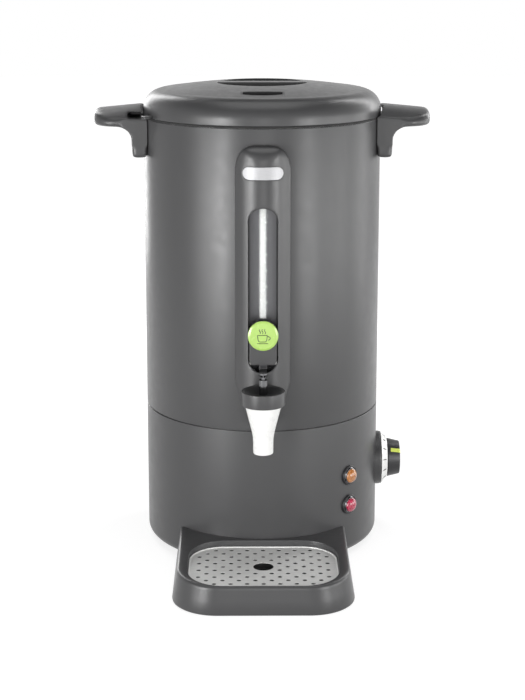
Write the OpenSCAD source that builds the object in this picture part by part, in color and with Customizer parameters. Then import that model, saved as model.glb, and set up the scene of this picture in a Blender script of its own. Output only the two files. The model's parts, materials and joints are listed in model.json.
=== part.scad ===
// Free-standing electric hot water urn: shell, tank, lid, push-button tap, sight tube, drip tray.
// The origin is on the urn's axis at the surface it stands on. -Y is the front, +Z is up.

/* [Body] */
// Outer diameter of the shell and the base housing
body_d = 253; // [240:1:270]
// Height of the joint between the base housing and the upper shell
seam_z = 152; // [148:1:158]
// Height of the top edge of the upper shell
shell_top = 464.6; // [455:0.2:480]
// Thickness of the upper shell's sheet
shell_t = 1.2; // [1:0.1:1.6]
// Wall of the base housing
base_wall = 2.5; // [2:0.1:3]
// Radius of the rounded bottom edge
base_fillet = 9.5; // [7:0.5:12]
// Height of the dark groove at the joint
groove_h = 1.2; // [0.8:0.1:2]
// Height of the rubber feet below the base housing
foot_h = 4; // [3:0.5:6]
// Diameter of a rubber foot
foot_d = 18; // [14:1:22]
// Radius of the circle that the feet stand on
foot_circle_r = 104; // [98:1:106]

/* [Tank] */
// Gap between the shell and the water tank
tank_gap = 7.8; // [7:0.1:12]
// Height of the underside of the tank
tank_z = 166; // [163:1:168]
// Wall of the tank
tank_t = 1.2; // [0.8:0.1:1.5]
// Width of the tank's rim beyond the shell's inner face
rim_lap = 0.6; // [0.4:0.1:1]

/* [Lid] */
// Height of the lid's vertical edge
lid_skirt_h = 6.5; // [5:0.5:14]
// Radius of the lid's shoulder
lid_shoulder_r = 20; // [12:0.5:22]
// Rise of the lid's crown from its shoulder to its centre
lid_crown_h = 8.6; // [6:0.2:11]
// Wall of the lid
lid_t = 2.5; // [2:0.1:3]
// Diameter of the round grip recess
grip_d = 94.5; // [84:0.5:98]
// Width of the bar across the grip recess
grip_bar_w = 18; // [14:0.5:22]
// Thickness of the bar
grip_bar_t = 9; // [7:0.5:11]
// Depth of the grip recess
grip_depth = 28; // [25:0.5:29]
// Width of the steam vent recess
vent_w = 44; // [38:1:48]
// Front to back size of the steam vent recess
vent_len = 20; // [16:0.5:22]
// Depth of the steam vent recess
vent_depth = 7; // [5:0.5:8]

/* [Handles] */
// Distance from the urn's axis to a handle's tip
handle_reach = 178.5; // [172:0.5:185]
// Front to back size of a handle
handle_w = 84; // [76:1:90]
// Height of the underside of the handle's grip
handle_under_z = 456.5; // [452:0.5:458]
// Height of the straight edge of the grip
handle_edge_h = 11; // [10:0.5:13]
// Rise of the grip's arched top
handle_arch = 10.5; // [8:0.5:12]
// Thickness of the leg that runs down the shell
handle_leg_t = 10.5; // [9:0.5:12]
// Height of the bottom of the leg
handle_leg_z = 424; // [412:1:428]
// Radius between the leg and the grip
handle_fillet = 14; // [10:0.5:16]
// Radius of the grip's outer corners
handle_corner = 26; // [20:1:32]
// Height of the slot that takes the lid's lug
lock_slot_h = 6.4; // [5.5:0.1:7]
// Length of the slot along the handle
lock_slot_len = 34; // [28:1:38]

/* [Front column] */
// Half of the column's width
column_half = 28; // [26:0.5:30]
// Distance from the shell to the crest of the column's face
column_out = 17; // [16:0.5:19]
// Radius of the column's rounded face
column_face_r = 34; // [32:0.5:40]
// Height of the top of the column
column_top = 449.5; // [440:0.5:455]
// Height where the column's lower end starts to taper
column_taper_z = 205; // [202:0.5:208]
// Height of the column's lowest point
column_low_z = 157; // [155:0.5:162]
// Wall of the column
column_t = 2.5; // [2:0.1:3]
// Half of the window's width
window_half = 15; // [14:0.1:16]
// Height of the top of the window
window_top = 387; // [380:0.5:395]
// Height of the bottom of the window
window_low = 218.4; // [217:0.1:219]
// Length of the badge plate
badge_len = 40.5; // [30:0.5:44]
// Height of the badge plate's own size
badge_h = 12.5; // [9:0.5:14]
// Height of the badge plate's centre
badge_z = 422.2; // [416:0.2:426]

/* [Sight gauge] */
// Outer diameter of the sight tube
tube_d = 9; // [8:0.5:10]
// Wall of the sight tube
tube_t = 1.2; // [0.8:0.1:1.6]
// Gap between the shell and the axis of the sight tube
tube_out = 7.2; // [7:0.1:7.4]
// Width of the white gauge strip
strip_w = 5.8; // [4:0.2:7]
// Height of the lowest scale mark
mark_low_z = 288.5; // [280:0.5:292]
// Distance between the scale marks
mark_pitch = 16.5; // [12:0.5:18]

/* [Tap] */
// Diameter of the push button
button_d = 30.9; // [26:0.1:31]
// Height of the button's centre
button_z = 258.2; // [255:0.2:262]
// Thickness of the button's cap
button_t = 4; // [3:0.5:5]
// Height of the lever's pivot
pivot_z = 227; // [226:0.5:229]
// Diameter of the lever's pin
pivot_d = 4; // [3:0.5:5]
// Diameter of the valve stem
stem_d = 8.4; // [7:0.2:9]
// Diameter of the collar on top of the spout
collar_d = 44; // [40:0.5:48]
// Height of the collar's lower edge
collar_low_z = 192; // [190:0.5:194]
// Height of the collar
collar_h = 14.5; // [11:0.5:15]
// Diameter of the spout where it leaves the collar
spout_top_d = 37; // [33:0.5:38]
// Diameter of the spout's straight end
spout_d = 20.6; // [18:0.2:23]
// Height of the spout's lower end
spout_low_z = 141; // [130:0.5:148]
// Height where the spout's cone ends
spout_cone_z = 160; // [156:0.5:163]
// Bore of the spout
spout_bore = 14; // [11:0.5:16]
// Height of the tap's inlet
inlet_z = 180; // [178:0.5:182]
// Outer diameter of the tap's inlet tube
inlet_d = 16; // [14:0.5:17]

/* [Controls] */
// Height of the knob's axis
knob_z = 82.5; // [76:0.5:90]
// Diameter of the knob's skirt
skirt_d = 60; // [54:1:64]
// Diameter of the knob's grip at its foot
grip_foot_d = 42.4; // [38:0.2:44]
// Diameter of the knob's grip at its face
grip_face_d = 35.8; // [32:0.2:37]
// Length of the knob's grip
grip_len = 14; // [12:0.5:18]
// Diameter of the knob's shaft
shaft_d = 6; // [5:0.5:7]
// Angle of the indicator lights from the front, towards +X
lamp_angle = 46.5; // [40:0.5:52]
// Height of the amber light
amber_z = 91; // [86:0.5:96]
// Height of the red light
red_z = 58.5; // [52:0.5:64]
// Diameter of a light's bezel
bezel_d = 21.5; // [18:0.5:23]
// Diameter of a light's lens
lens_d = 14.6; // [12:0.2:16]

/* [Drip tray] */
// Half of the tray's width at its foot
tray_half = 92; // [86:0.5:96]
// Distance from the urn's axis to the tray's front
tray_front = 246; // [240:1:252]
// Radius of the tray's front corners
tray_corner = 45; // [36:1:50]
// Height of the tray's front rim
tray_rim_z = 28.5; // [26:0.5:32]
// Height of the tray's rim beside the shell
tray_back_z = 34.5; // [33:0.5:38]
// Inward lean of the tray's walls over their height
tray_lean = 5.5; // [3:0.5:7]
// Floor of the tray
tray_floor_t = 3; // [2.5:0.5:4]
// Half of the grille's width
grille_half = 75.7; // [70:0.1:78]
// Distance from the urn's axis to the grille's front edge
grille_front = 237.5; // [230:0.5:239]
// Distance from the urn's axis to the grille's back edge
grille_back = 131; // [130:0.5:136]
// Radius of the grille's corners
grille_corner = 36; // [30:1:40]
// Thickness of the grille
grille_t = 1.2; // [1:0.1:1.5]
// Height of the grille's top face
grille_z = 27; // [25:0.2:27.4]
// Diameter of the grille's middle hole
drain_d = 20.7; // [16:0.1:24]
// Diameter of a small hole
hole_d = 4.6; // [3:0.1:5]
// Distance between the rows of holes
row_pitch = 8.9; // [8:0.1:9.2]
// Distance between the holes of a row
hole_pitch = 16.35; // [15:0.05:17]

/* [Hidden] */

$fn = 96;
eps = 0.01;
reach = 30;                                     // how far cuts and spans go past a face
small = 0.3;                                    // seat clearance between separate bodies
fit = 0.05;                                     // running fit of pins and shafts
body_r = body_d/2;
shell_in = body_r - shell_t;
tank_r = shell_in - tank_gap;
tank_in = tank_r - tank_t;

charcoal = [0.30, 0.30, 0.31];
black = [0.09, 0.09, 0.10];
steel = [0.72, 0.72, 0.70];
white = [0.93, 0.93, 0.92];
lime = [0.62, 0.86, 0.28];

// ---- base -------------------------------------------------------------------
lip_w = 34;                                     // inner lip under the base plate
plate_t = 1.5;
plate_z = foot_h + base_wall;
plate_clear = 0.4;
spigot_h = 9;                                   // part of the base housing inside the upper shell
spigot_t = 2;
foot_stem_d = 6;
foot_socket_r = 1.9;                             // hole from below in each foot, for a peg
screw_d = 4;
screw_head_d = 7;
screw_head_h = 2.4;
seam_low = seam_z - groove_h/2;
seam_high = seam_z + groove_h/2;

// ---- tank and lid -----------------------------------------------------------
flange_t = 1.2;
tank_corner = 3;
flange_r = shell_in + rim_lap;
flange_top = shell_top + flange_t;
lid_low = flange_top + small + 0.9;             // lower edge of the lid's skirt
lid_r = body_r + 0.5;
shoulder_z = lid_low + lid_skirt_h;
shoulder_r = lid_r - lid_shoulder_r;
crown_edge = shoulder_z + lid_shoulder_r;
crown_r = (shoulder_r*shoulder_r + lid_crown_h*lid_crown_h)/(2*lid_crown_h);
lid_top = crown_edge + lid_crown_h;
function crown_z(r) = lid_top - crown_r + sqrt(crown_r*crown_r - r*r);
grip_r = grip_d/2;
cup_floor = crown_z(grip_r) - grip_depth;       // top face of the grip recess's floor
bar_top = crown_z(grip_r) + 0.6;
liner_t = 1;
liner_r = tank_in - 1.8;
liner_depth = 9;
liner_low = flange_top + small - liner_depth;
liner_rim_r = lid_r - lid_t - 0.4;
liner_rim_top = flange_top + small + liner_t;
seal_h = 4;
boss_r = 4.5;
boss_circle = 30;
lid_grip = 12;                                  // length of the lid's screws
vent_back = 77;                                 // distance from the axis to the vent's straight side
vent_clear = 0.2;
vent_wall = 1.8;
vent_pitch = 4.6;                               // between the steam slots
lug_h = 3;
lug_w = 11;
lug_out = 9.5;
lug_angle = 24.5;                               // from the handle's middle, in the unlocked place

// ---- handles ----------------------------------------------------------------
handle_gap = 0.3;
handle_in = body_r + handle_gap;
handle_leg_out = body_r + handle_leg_t;
arch_r = ((handle_w/2)*(handle_w/2) + handle_arch*handle_arch)/(2*handle_arch);
arch_tilt = 5.2;
handle_lid_gap = 2.2;
lock_slot_z = lid_low + lug_h/2 - lock_slot_h/2;
handle_screw_y = 22;
handle_screw_z = handle_leg_z + 16;
function shell_face(across) = sqrt(shell_in*shell_in - pow(across + screw_head_d/2, 2));

// ---- column -----------------------------------------------------------------
face_y = -(body_r + column_out);                // crest of the column's face
face_c = face_y + column_face_r;                // axis of its rounded face
column_back = body_r + 0.06;
end_round = 20;                                 // corners of the column's top, seen from the front
top_round = 16;                                 // roll of its top edge, seen from the side
tip_share = 0.42;                               // width of its lower tip against its full width
heel_h = 8;                                     // straight part below the taper's start
boss_x = 20.5;
boss_d = 8;
pilot_r = 1.7;                                  // screw holes in the mouldings
column_grip = 9;                                // length of the column's screws past their heads
boss_zs = [236, 402];
badge_t = 1.4;
badge_sink = 0.9;

tube_y = -(body_r + tube_out);
tube_low = inlet_z + inlet_d/2 + 5;
tube_high = window_top + 12;
tube_vent_r = 2;
tube_vent_z = tube_high - 6;                    // hole that lets air into the top of the tube
strip_t = 1.6;
strip_y = -(body_r + small);
strip_low = 272;
mark_t = 0.35;
mark_count = 6;

// ---- tap --------------------------------------------------------------------
pivot_y = -(body_r + 9.5);
button_face = face_y - 5.5;                     // front of the button's cap
boss_front = button_face + button_t;
boss_back = -(body_r + 7);
lever_front = boss_front + 0.6;                 // front of the lever's flat face
lever_clear = 1.2;                              // between the lever and the window's edge
lever_half = window_half - lever_clear;
lever_low = window_low + 8.4;
lever_wall = 3;
lever_back = lever_front + lever_wall;
channel_half = tube_d/2 + 1.2;
barrel_half = 10.5;
ear_in = barrel_half + 0.4;
ear_w = 7;
collar_gap = 0.5;
tap_y = face_y - collar_gap - collar_d/2;       // axis of stem, collar and spout
collar_top = collar_low_z + collar_h;
dish = 4;
arm_low = window_low + 1.2;
arm_t = 3;
arm_half = 4;
stem_shoulder = arm_low - 2.1;
stem_head_z = arm_low + arm_t + small;
stem_neck_d = 3.6;
stem_head_t = 1.8;
seat_z = spout_cone_z + 4;                      // height of the valve seat
cup_h = 6;
chamber_wall = 2.2;
spout_lap = 4;                                  // part of the spout inside the collar
socket_len = 5;
port_r = tube_d/2 + 2;                          // outside of the port that holds the sight tube
nut_t = 5;
washer_t = 2;
washer_r = inlet_d/2 + 2.6;
tap_inner = tank_in - washer_t - nut_t - 3;     // inner end of the inlet tube
port_clear = 0.2;                               // around the inlet tube in tank and shell

spring_x = channel_half + 4;
spring_z = button_z - 5;

// ---- controls ---------------------------------------------------------------
skirt_out = 5;
dial_h = 7;
dial_x = body_r + skirt_out + 0.1;
dial_out_r = skirt_d/2 - 1;
dial_in_r = grip_foot_d/2 + 0.8;
dial_first = -110;                              // angle of the first dial mark
dial_step = 27;
knob_x = dial_x + dial_h + small;
pointer_angle = 40;                             // above the forward direction, at rest
bush_d = 10;
stat_x = body_r - base_wall - 1;                // outer face of the thermostat's body
stat_size = [24, 42, 36];
lamp_body_d = 12;
lamp_deep = 20;
lens_out = 5;

// ---- heater -----------------------------------------------------------------
heater_r = 84;
heater_t = 6;
element_ring = 58;
element_r = 4;
pin_drop = 22;                                  // cold pins of the element, down to the leads
element_z = tank_z - heater_t - element_r - 0.2;
element_open = 40;                              // open angle of the ring at its two ends
clamp_t = 3;
clamp_half = element_ring + 10;
clamp_w = 22;
clamp_z = element_z - element_r - clamp_t - 0.2;
stud_d = 6;
cutout_r = 12;

bulb_z = tank_z - heater_t - 4.2;
bulb_x = 76;
block_x = -46;
block_top = plate_z + plate_t + 22;
gland_z = 34;
gland_r = 8;

// ---- tray -------------------------------------------------------------------
tray_gap = 0.5;
ledge_w = 3.2;
grille_clear = 0.6;

// ---------------------------------------------------------------- helpers ----
// A cylinder along +X from x0 to x1
module along_x(r, x0, x1, y = 0, z = 0, r2 = -1)
    translate([x0, y, z]) rotate([0, 90, 0])
        cylinder(r1 = r, r2 = r2 < 0 ? r : r2, h = x1 - x0);

// A cylinder along +Y from y0 to y1
module along_y(r, y0, y1, x = 0, z = 0, r2 = -1)
    translate([x, y0, z]) rotate([-90, 0, 0])
        cylinder(r1 = r, r2 = r2 < 0 ? r : r2, h = y1 - y0);

// A cylinder along +Z from z0 to z1
module along_z(r, z0, z1, x = 0, y = 0)
    translate([x, y, z0]) cylinder(r = r, h = z1 - z0);

// A block between two corners
module block(a, b) translate(a) cube(b - a);

// A rounded rectangle between two corners
module round_rect(a, b, r) {
    translate([a[0] + r, a[1]]) square([b[0] - a[0] - 2*r, b[1] - a[1]]);
    translate([a[0], a[1] + r]) square([b[0] - a[0], b[1] - a[1] - 2*r]);
    for (x = [a[0] + r, b[0] - r], y = [a[1] + r, b[1] - r]) translate([x, y]) circle(r);
}

// Places its children at an angle from the front towards +X, with +X pointing outward
module at_angle(a, z) translate([0, 0, z]) rotate([0, 0, a - 90]) children();

// A slotted screw with its head's outer face at the origin, shank towards +Z
module screw(len, d = screw_d, head = screw_head_d, h = screw_head_h)
    difference() {
        union() {
            cylinder(d = head, h = h);
            cylinder(d = d, h = len);
        }
        translate([-head/2, -0.5, -eps]) cube([head, 1, h*0.45]);
    }

// Points of a smooth curve through a list of chosen points
function catmull(p0, p1, p2, p3, t) =
    0.5*(2*p1 + (p2 - p0)*t + (2*p0 - 5*p1 + 4*p2 - p3)*t*t + (3*p1 - p0 - 3*p2 + p3)*t*t*t);
function smooth(p, n) = [for (i = [0 : len(p) - 2], j = [0 : n - 1])
    catmull(p[max(i - 1, 0)], p[i], p[i + 1], p[min(i + 2, len(p) - 1)], j/n), p[len(p) - 1]];
function unit(v) = v/norm(v);
function tangent(p, i) = unit(p[min(i + 1, len(p) - 1)] - p[max(i - 1, 0)]);

// A tube of eight sides swept along points that run mostly level
module sweep(p, r, sides = 8) {
    rings = [for (i = [0 : len(p) - 1])
        let (t = tangent(p, i), side = unit(cross(t, [0.13, 0.31, 1])), up = cross(side, t))
        for (k = [0 : sides - 1]) p[i] + r*(cos(360*k/sides)*side + sin(360*k/sides)*up)];
    n = len(p);
    faces = concat(
        [[for (k = [0 : sides - 1]) k]],
        [[for (k = [sides - 1 : -1 : 0]) (n - 1)*sides + k]],
        [for (i = [0 : n - 2], k = [0 : sides - 1]) let (m = (k + 1) % sides)
            each [[i*sides + k, (i + 1)*sides + k, (i + 1)*sides + m],
                  [i*sides + k, (i + 1)*sides + m, i*sides + m]]]);
    polyhedron(points = rings, faces = faces);
}

// A coil spring of flat-sided wire between two heights
module spring(r, wire, z0, z1, turns, steps = 12) {
    n = turns*steps;
    sweep([for (i = [0 : n]) [r*cos(360*i/steps), r*sin(360*i/steps),
        z0 + wire + (z1 - z0 - 2*wire)*i/n]], wire, 6);
}

// ------------------------------------------------------------------- body ----
module foot_places() for (a = [45 : 90 : 315])
    rotate([0, 0, a]) translate([foot_circle_r, 0, 0]) children();
module base_screw_places() for (a = [0 : 90 : 270])
    rotate([0, 0, a]) translate([foot_circle_r, 0, 0]) children();

module upper_shell() color(charcoal) difference() {
    rotate_extrude() translate([shell_in, seam_high]) square([shell_t, shell_top - seam_high]);
    along_y(inlet_d/2 + port_clear, -body_r - 1, -shell_in + 3, 0, inlet_z);
    for (x = [-boss_x, boss_x], z = boss_zs) along_y(screw_d/2 + 0.2, -body_r - 1, reach - body_r, x, z);
    for (s = [-1, 1], y = [-handle_screw_y, handle_screw_y])
        mirror([s > 0 ? 0 : 1, 0, 0])
            along_x(screw_d/2 + 0.2, body_r - reach, body_r + 1, y, handle_screw_z);
    along_y(tube_vent_r + 1.2, -body_r - 1, -shell_in + 3, 0, tube_vent_z);
}

module housing_outline() {
    translate([body_r - lip_w, foot_h]) square([lip_w - base_fillet, base_wall + 4]);
    intersection() {
        translate([body_r - base_fillet, foot_h + base_fillet]) circle(base_fillet);
        translate([body_r - base_fillet - eps, foot_h]) square([base_fillet + 1, base_fillet + eps]);
    }
    translate([body_r - base_fillet - 1, foot_h + base_fillet])
        square([base_fillet + 1, seam_low - foot_h - base_fillet]);
    translate([shell_in - small - spigot_t, seam_low - 6]) square([spigot_t, 6 + spigot_h + groove_h]);
}

module housing_inside() {
    corner_r = base_fillet - base_wall;
    translate([body_r - lip_w - 1, plate_z]) square([lip_w + 1 - base_fillet, seam_low]);
    translate([body_r - base_fillet, plate_z + corner_r]) circle(corner_r);
    translate([body_r - base_fillet - 1, plate_z + corner_r])
        square([corner_r + 1, seam_low - 6 - plate_z - corner_r]);
}

module base_housing() color(charcoal) difference() {
    rotate_extrude() difference() { housing_outline(); housing_inside(); }
    foot_places() along_z(foot_stem_d/2 + 0.1, foot_h - 1, plate_z + 1);
    base_screw_places() along_z(screw_d/2 + 0.2, foot_h - 1, plate_z + 1);
    along_x(bush_d/2 + 0.2, body_r - 8, body_r + 1, 0, knob_z);
    for (z = [amber_z, red_z]) at_angle(lamp_angle, z) along_x(bezel_d/2 + 0.15, body_r - 8, body_r + 2);
    along_y(gland_r + 0.2, body_r - 8, body_r + 1, 0, gland_z);
}

module base_plate() color(steel) difference() {
    along_z(body_r - base_fillet - plate_clear, plate_z, plate_z + plate_t);
    foot_places() along_z(foot_stem_d/2 + 0.1, plate_z - 1, plate_z + plate_t + 1);
    base_screw_places() along_z(screw_d/2 - 0.4, plate_z - 1, plate_z + plate_t + 1);
    // cooling slots
    for (i = [-4 : 4], s = [-1, 1])
        translate([i*11 - 2, s*52 - 14, plate_z - 1]) cube([4, 28, plate_t + 2]);
}

module feet() color(black) foot_places() difference() {
    union() {
        cylinder(d1 = foot_d - 2, d2 = foot_d, h = foot_h);
        along_z(foot_stem_d/2, foot_h - 1, plate_z + plate_t);
        translate([0, 0, plate_z + plate_t]) cylinder(d1 = foot_stem_d + 2.4, d2 = foot_stem_d - 1, h = 3);
    }
    along_z(foot_socket_r, -1, foot_h);
}

module base_screws() color(steel) base_screw_places()
    translate([0, 0, foot_h - screw_head_h]) screw(screw_head_h + base_wall + plate_t + 3, screw_d - 0.8);

// Half section of the tank's outside, or of its inside when inset by the wall
module tank_profile(inset, top) {
    corner = tank_corner - inset;
    translate([0, tank_z + inset]) square([tank_r - tank_corner, top - tank_z - inset]);
    translate([0, tank_z + tank_corner]) square([tank_r - inset, top - tank_z - tank_corner]);
    translate([tank_r - tank_corner, tank_z + tank_corner]) circle(corner);
}

module inner_tank() color(steel) difference() {
    rotate_extrude() difference() {
        union() {
            tank_profile(0, flange_top);
            translate([0, shell_top]) square([flange_r, flange_t]);
        }
        tank_profile(tank_t, flange_top + 1);
    }
    along_y(inlet_d/2 + port_clear, -tank_r - 1, -tank_in + 4, 0, inlet_z);
}

// ------------------------------------------------------------------- lid -----
module shoulder_arc(r) intersection() {
    translate([shoulder_r, shoulder_z]) circle(r);
    translate([shoulder_r - eps, shoulder_z - eps]) square(r + 1);
}

module lid_outline() {
    translate([0, lid_low]) square([lid_r, lid_skirt_h]);
    translate([0, lid_low]) square([shoulder_r, lid_skirt_h + lid_shoulder_r]);
    shoulder_arc(lid_shoulder_r);
    intersection() {
        translate([0, lid_top - crown_r]) circle(crown_r, $fn = 720);
        translate([0, crown_edge - eps]) square([shoulder_r, lid_crown_h + 1]);
    }
}

module lid_inside() {
    translate([0, lid_low - 1]) square([lid_r - lid_t, lid_skirt_h + 1]);
    translate([0, lid_low]) square([shoulder_r, lid_skirt_h + lid_shoulder_r - lid_t]);
    shoulder_arc(lid_shoulder_r - lid_t);
    intersection() {
        translate([0, lid_top - crown_r]) circle(crown_r - lid_t, $fn = 720);
        translate([0, crown_edge - lid_t - eps]) square([shoulder_r, lid_crown_h + 1]);
    }
}

module vent_plan(grow) intersection() {
    translate([0, -vent_back + vent_len]) circle(vent_len*2 + grow);
    translate([-vent_w/2 - grow, -vent_back - vent_len - 2]) square([vent_w + 2*grow, vent_len + 2 + grow]);
}

module lid_boss_places() for (a = [90 : 120 : 330])
    rotate([0, 0, a]) translate([boss_circle, 0, 0]) children();

module lid_lug() rotate([0, 0, lug_angle]) intersection() {
    block([lid_r - 1.5, -lug_w/2, lid_low], [lid_r + lug_out, lug_w/2, lid_low + lug_h]);
    along_z(lid_r + lug_out - 0.4, lid_low - 1, lid_low + lug_h + 1);
}

module lid_shell() color(charcoal) {
    difference() {
        rotate_extrude() difference() {
            lid_outline();
            lid_inside();
            square([2, 2*lid_top]);
        }
        along_z(grip_r, lid_low, lid_top + 1);
        translate([0, 0, lid_low]) linear_extrude(lid_skirt_h + 40) vent_plan(vent_clear);
    }
    // grip recess with its floor, and the bar across it
    difference() {
        intersection() {
            along_z(grip_r + lid_t, cup_floor - lid_t, lid_top);
            rotate_extrude() lid_outline();
        }
        difference() {
            along_z(grip_r, cup_floor, lid_top + 1);
            block([-grip_r - 1, -grip_bar_w/2, bar_top - grip_bar_t], [grip_r + 1, grip_bar_w/2, bar_top]);
        }
        lid_boss_places() along_z(1.6, cup_floor - lid_t - 1, cup_floor - 0.8);
    }
    lid_boss_places() difference() {
        along_z(boss_r, liner_low + liner_t + 0.05, cup_floor - lid_t + eps);
        along_z(1.6, liner_low, cup_floor - lid_t + 1);
    }
    lid_lug();
    rotate([0, 0, 180]) lid_lug();
}

module steam_vent() color(black) difference() {
    intersection() {
        translate([0, 0, lid_low]) linear_extrude(lid_skirt_h + 40) vent_plan(0);
        rotate_extrude() difference() {
            lid_outline();
            translate([0, -vent_depth - vent_wall]) lid_outline();
        }
    }
    intersection() {
        translate([0, 0, lid_low]) linear_extrude(lid_skirt_h + 40) vent_plan(-vent_wall);
        rotate_extrude() difference() {
            translate([0, 1]) lid_outline();
            translate([0, -vent_depth]) lid_outline();
        }
    }
    for (i = [-3 : 3])
        translate([i*vent_pitch - 0.9, -vent_back - vent_len + 6, lid_low]) cube([1.8, 9, 40]);
}

module lid_liner() color(steel) difference() {
    rotate_extrude() {
        translate([2, liner_low]) square([liner_r - 2, liner_t]);
        translate([liner_r - liner_t, liner_low]) square([liner_t, liner_rim_top - liner_low]);
        translate([liner_r - liner_t, liner_rim_top - liner_t])
            square([liner_rim_r - liner_r + liner_t, liner_t]);
    }
    lid_boss_places() along_z(screw_d/2 + 0.1, liner_low - 1, liner_low + liner_t + 1);
}

module lid_seal() color(white) rotate_extrude() difference() {
    translate([liner_r + 0.02, liner_rim_top - liner_t - seal_h - 0.5])
        square([tank_in - small - liner_r, seal_h]);
    translate([tank_in - small, liner_rim_top - liner_t - seal_h/2 - 0.5]) circle(0.7, $fn = 24);
}

module lid_screws() color(steel) lid_boss_places()
    translate([0, 0, liner_low - screw_head_h]) screw(lid_grip, 3.1);

// ---------------------------------------------------------------- handles ----
module handle_plan() {
    hull_x = handle_reach - handle_corner;
    root_x = body_r - reach;
    translate([root_x, -handle_w/2]) square([hull_x - root_x, handle_w]);
    translate([root_x, -handle_w/2 + handle_corner])
        square([handle_reach - root_x, handle_w - 2*handle_corner]);
    for (s = [-1, 1]) translate([hull_x, s*(handle_w/2 - handle_corner)]) circle(handle_corner);
}

module handle_shape() difference() {
    union() {
        intersection() {
            translate([0, 0, handle_under_z]) linear_extrude(40) handle_plan();
            translate([body_r, 0, handle_under_z + handle_edge_h + handle_arch]) rotate([0, arch_tilt, 0])
                along_x(arch_r, -40, 80, 0, -arch_r);
        }
        difference() {
            block([body_r - reach, -handle_w/2, handle_leg_z],
                  [handle_leg_out + handle_fillet, handle_w/2, handle_under_z + eps]);
            block([handle_leg_out, -handle_w/2 - 1, handle_leg_z - 1],
                  [handle_leg_out + handle_fillet + 1, handle_w/2 + 1, handle_under_z - handle_fillet]);
            along_y(handle_fillet, -handle_w/2 - 1, handle_w/2 + 1, handle_leg_out + handle_fillet,
                    handle_under_z - handle_fillet);
            translate([handle_in - 12, -handle_w/2 - 1, handle_leg_z - 14]) rotate([0, 14, 0])
                cube([60, handle_w + 2, 10]);
        }
    }
    // room for the shell, the tank's rim and the lid's shoulder
    along_z(handle_in, handle_leg_z - 10, lid_low + 0.2);
    rotate_extrude() {
        translate([0, lid_low]) square([lid_r + handle_lid_gap, lid_skirt_h]);
        shoulder_arc(lid_shoulder_r + handle_lid_gap);
        translate([0, shoulder_z]) square([shoulder_r, 30]);
    }
    // slot for the lid's lug, open to the lid and to the side it enters from
    translate([0, handle_w/2 - lock_slot_len, lock_slot_z])
        cube([lid_r + lug_out + 2, lock_slot_len + 1, lock_slot_h]);
    translate([lid_r + lug_out + 2, handle_w/2 + 1, lock_slot_z + lock_slot_h/2]) rotate([90, 0, 0])
        cylinder(d = lock_slot_h, h = lock_slot_len + 1);
    for (y = [-handle_screw_y, handle_screw_y])
        along_x(pilot_r, body_r - reach, body_r + handle_leg_t - 2, y, handle_screw_z);
}

module handle_right() color(charcoal) handle_shape();
module handle_left() color(charcoal) rotate([0, 0, 180]) handle_shape();

module handle_screws() color(steel) for (a = [0, 180], y = [-handle_screw_y, handle_screw_y])
    rotate([0, 0, a])
    translate([shell_face(handle_screw_y) - screw_head_h - 0.1, y, handle_screw_z]) rotate([0, 90, 0])
        screw(screw_head_h + handle_leg_t + 0.5, 2*pilot_r - 0.1);

// ----------------------------------------------------------------- column ----
module column_front(inset) {
    h = column_half - inset;
    top = column_top - inset;
    translate([-h + end_round, column_taper_z]) square([2*h - 2*end_round, top - column_taper_z]);
    for (s = [-1, 1]) translate([s*(h - end_round), top - end_round]) circle(end_round);
    polygon([[-h, top - end_round], [-h, column_taper_z], [-h*tip_share, column_low_z + inset],
             [h*tip_share, column_low_z + inset], [h, column_taper_z], [h, top - end_round]]);
}

module column_side(inset) {
    f = face_y + inset;
    back = reach - body_r;
    top = column_top - inset;
    translate([f + top_round, top - top_round]) circle(top_round);
    polygon([[back, top], [f + top_round, top], [f + top_round, top - top_round], [f, top - top_round],
             [f, column_taper_z - heel_h], [f + 3, column_low_z + 22 + inset],
             [-body_r - 1, column_low_z + inset], [back, column_low_z + inset]]);
}

module column_form(inset) intersection() {
    along_z(column_face_r - inset, column_low_z - 5, column_top + 5, 0, face_c);
    translate([0, 2*reach - body_r, 0]) rotate([90, 0, 0]) linear_extrude(4*reach) column_front(inset);
    translate([-2*reach, 0, 0]) rotate([90, 0, 90]) linear_extrude(4*reach) column_side(inset);
}

// The arched slot of the window, as an outline in X and Z
module window_plan(grow) {
    w = window_half + grow;
    translate([-w, window_low + window_half]) square([2*w, window_top - window_low - 2*window_half]);
    for (z = [window_low + window_half, window_top - window_half]) translate([0, z]) circle(w);
}

module badge_plan(grow) round_rect([-badge_len/2 - grow, badge_z - badge_h/2 - grow],
    [badge_len/2 + grow, badge_z + badge_h/2 + grow], badge_h/2 + grow - eps);

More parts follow.
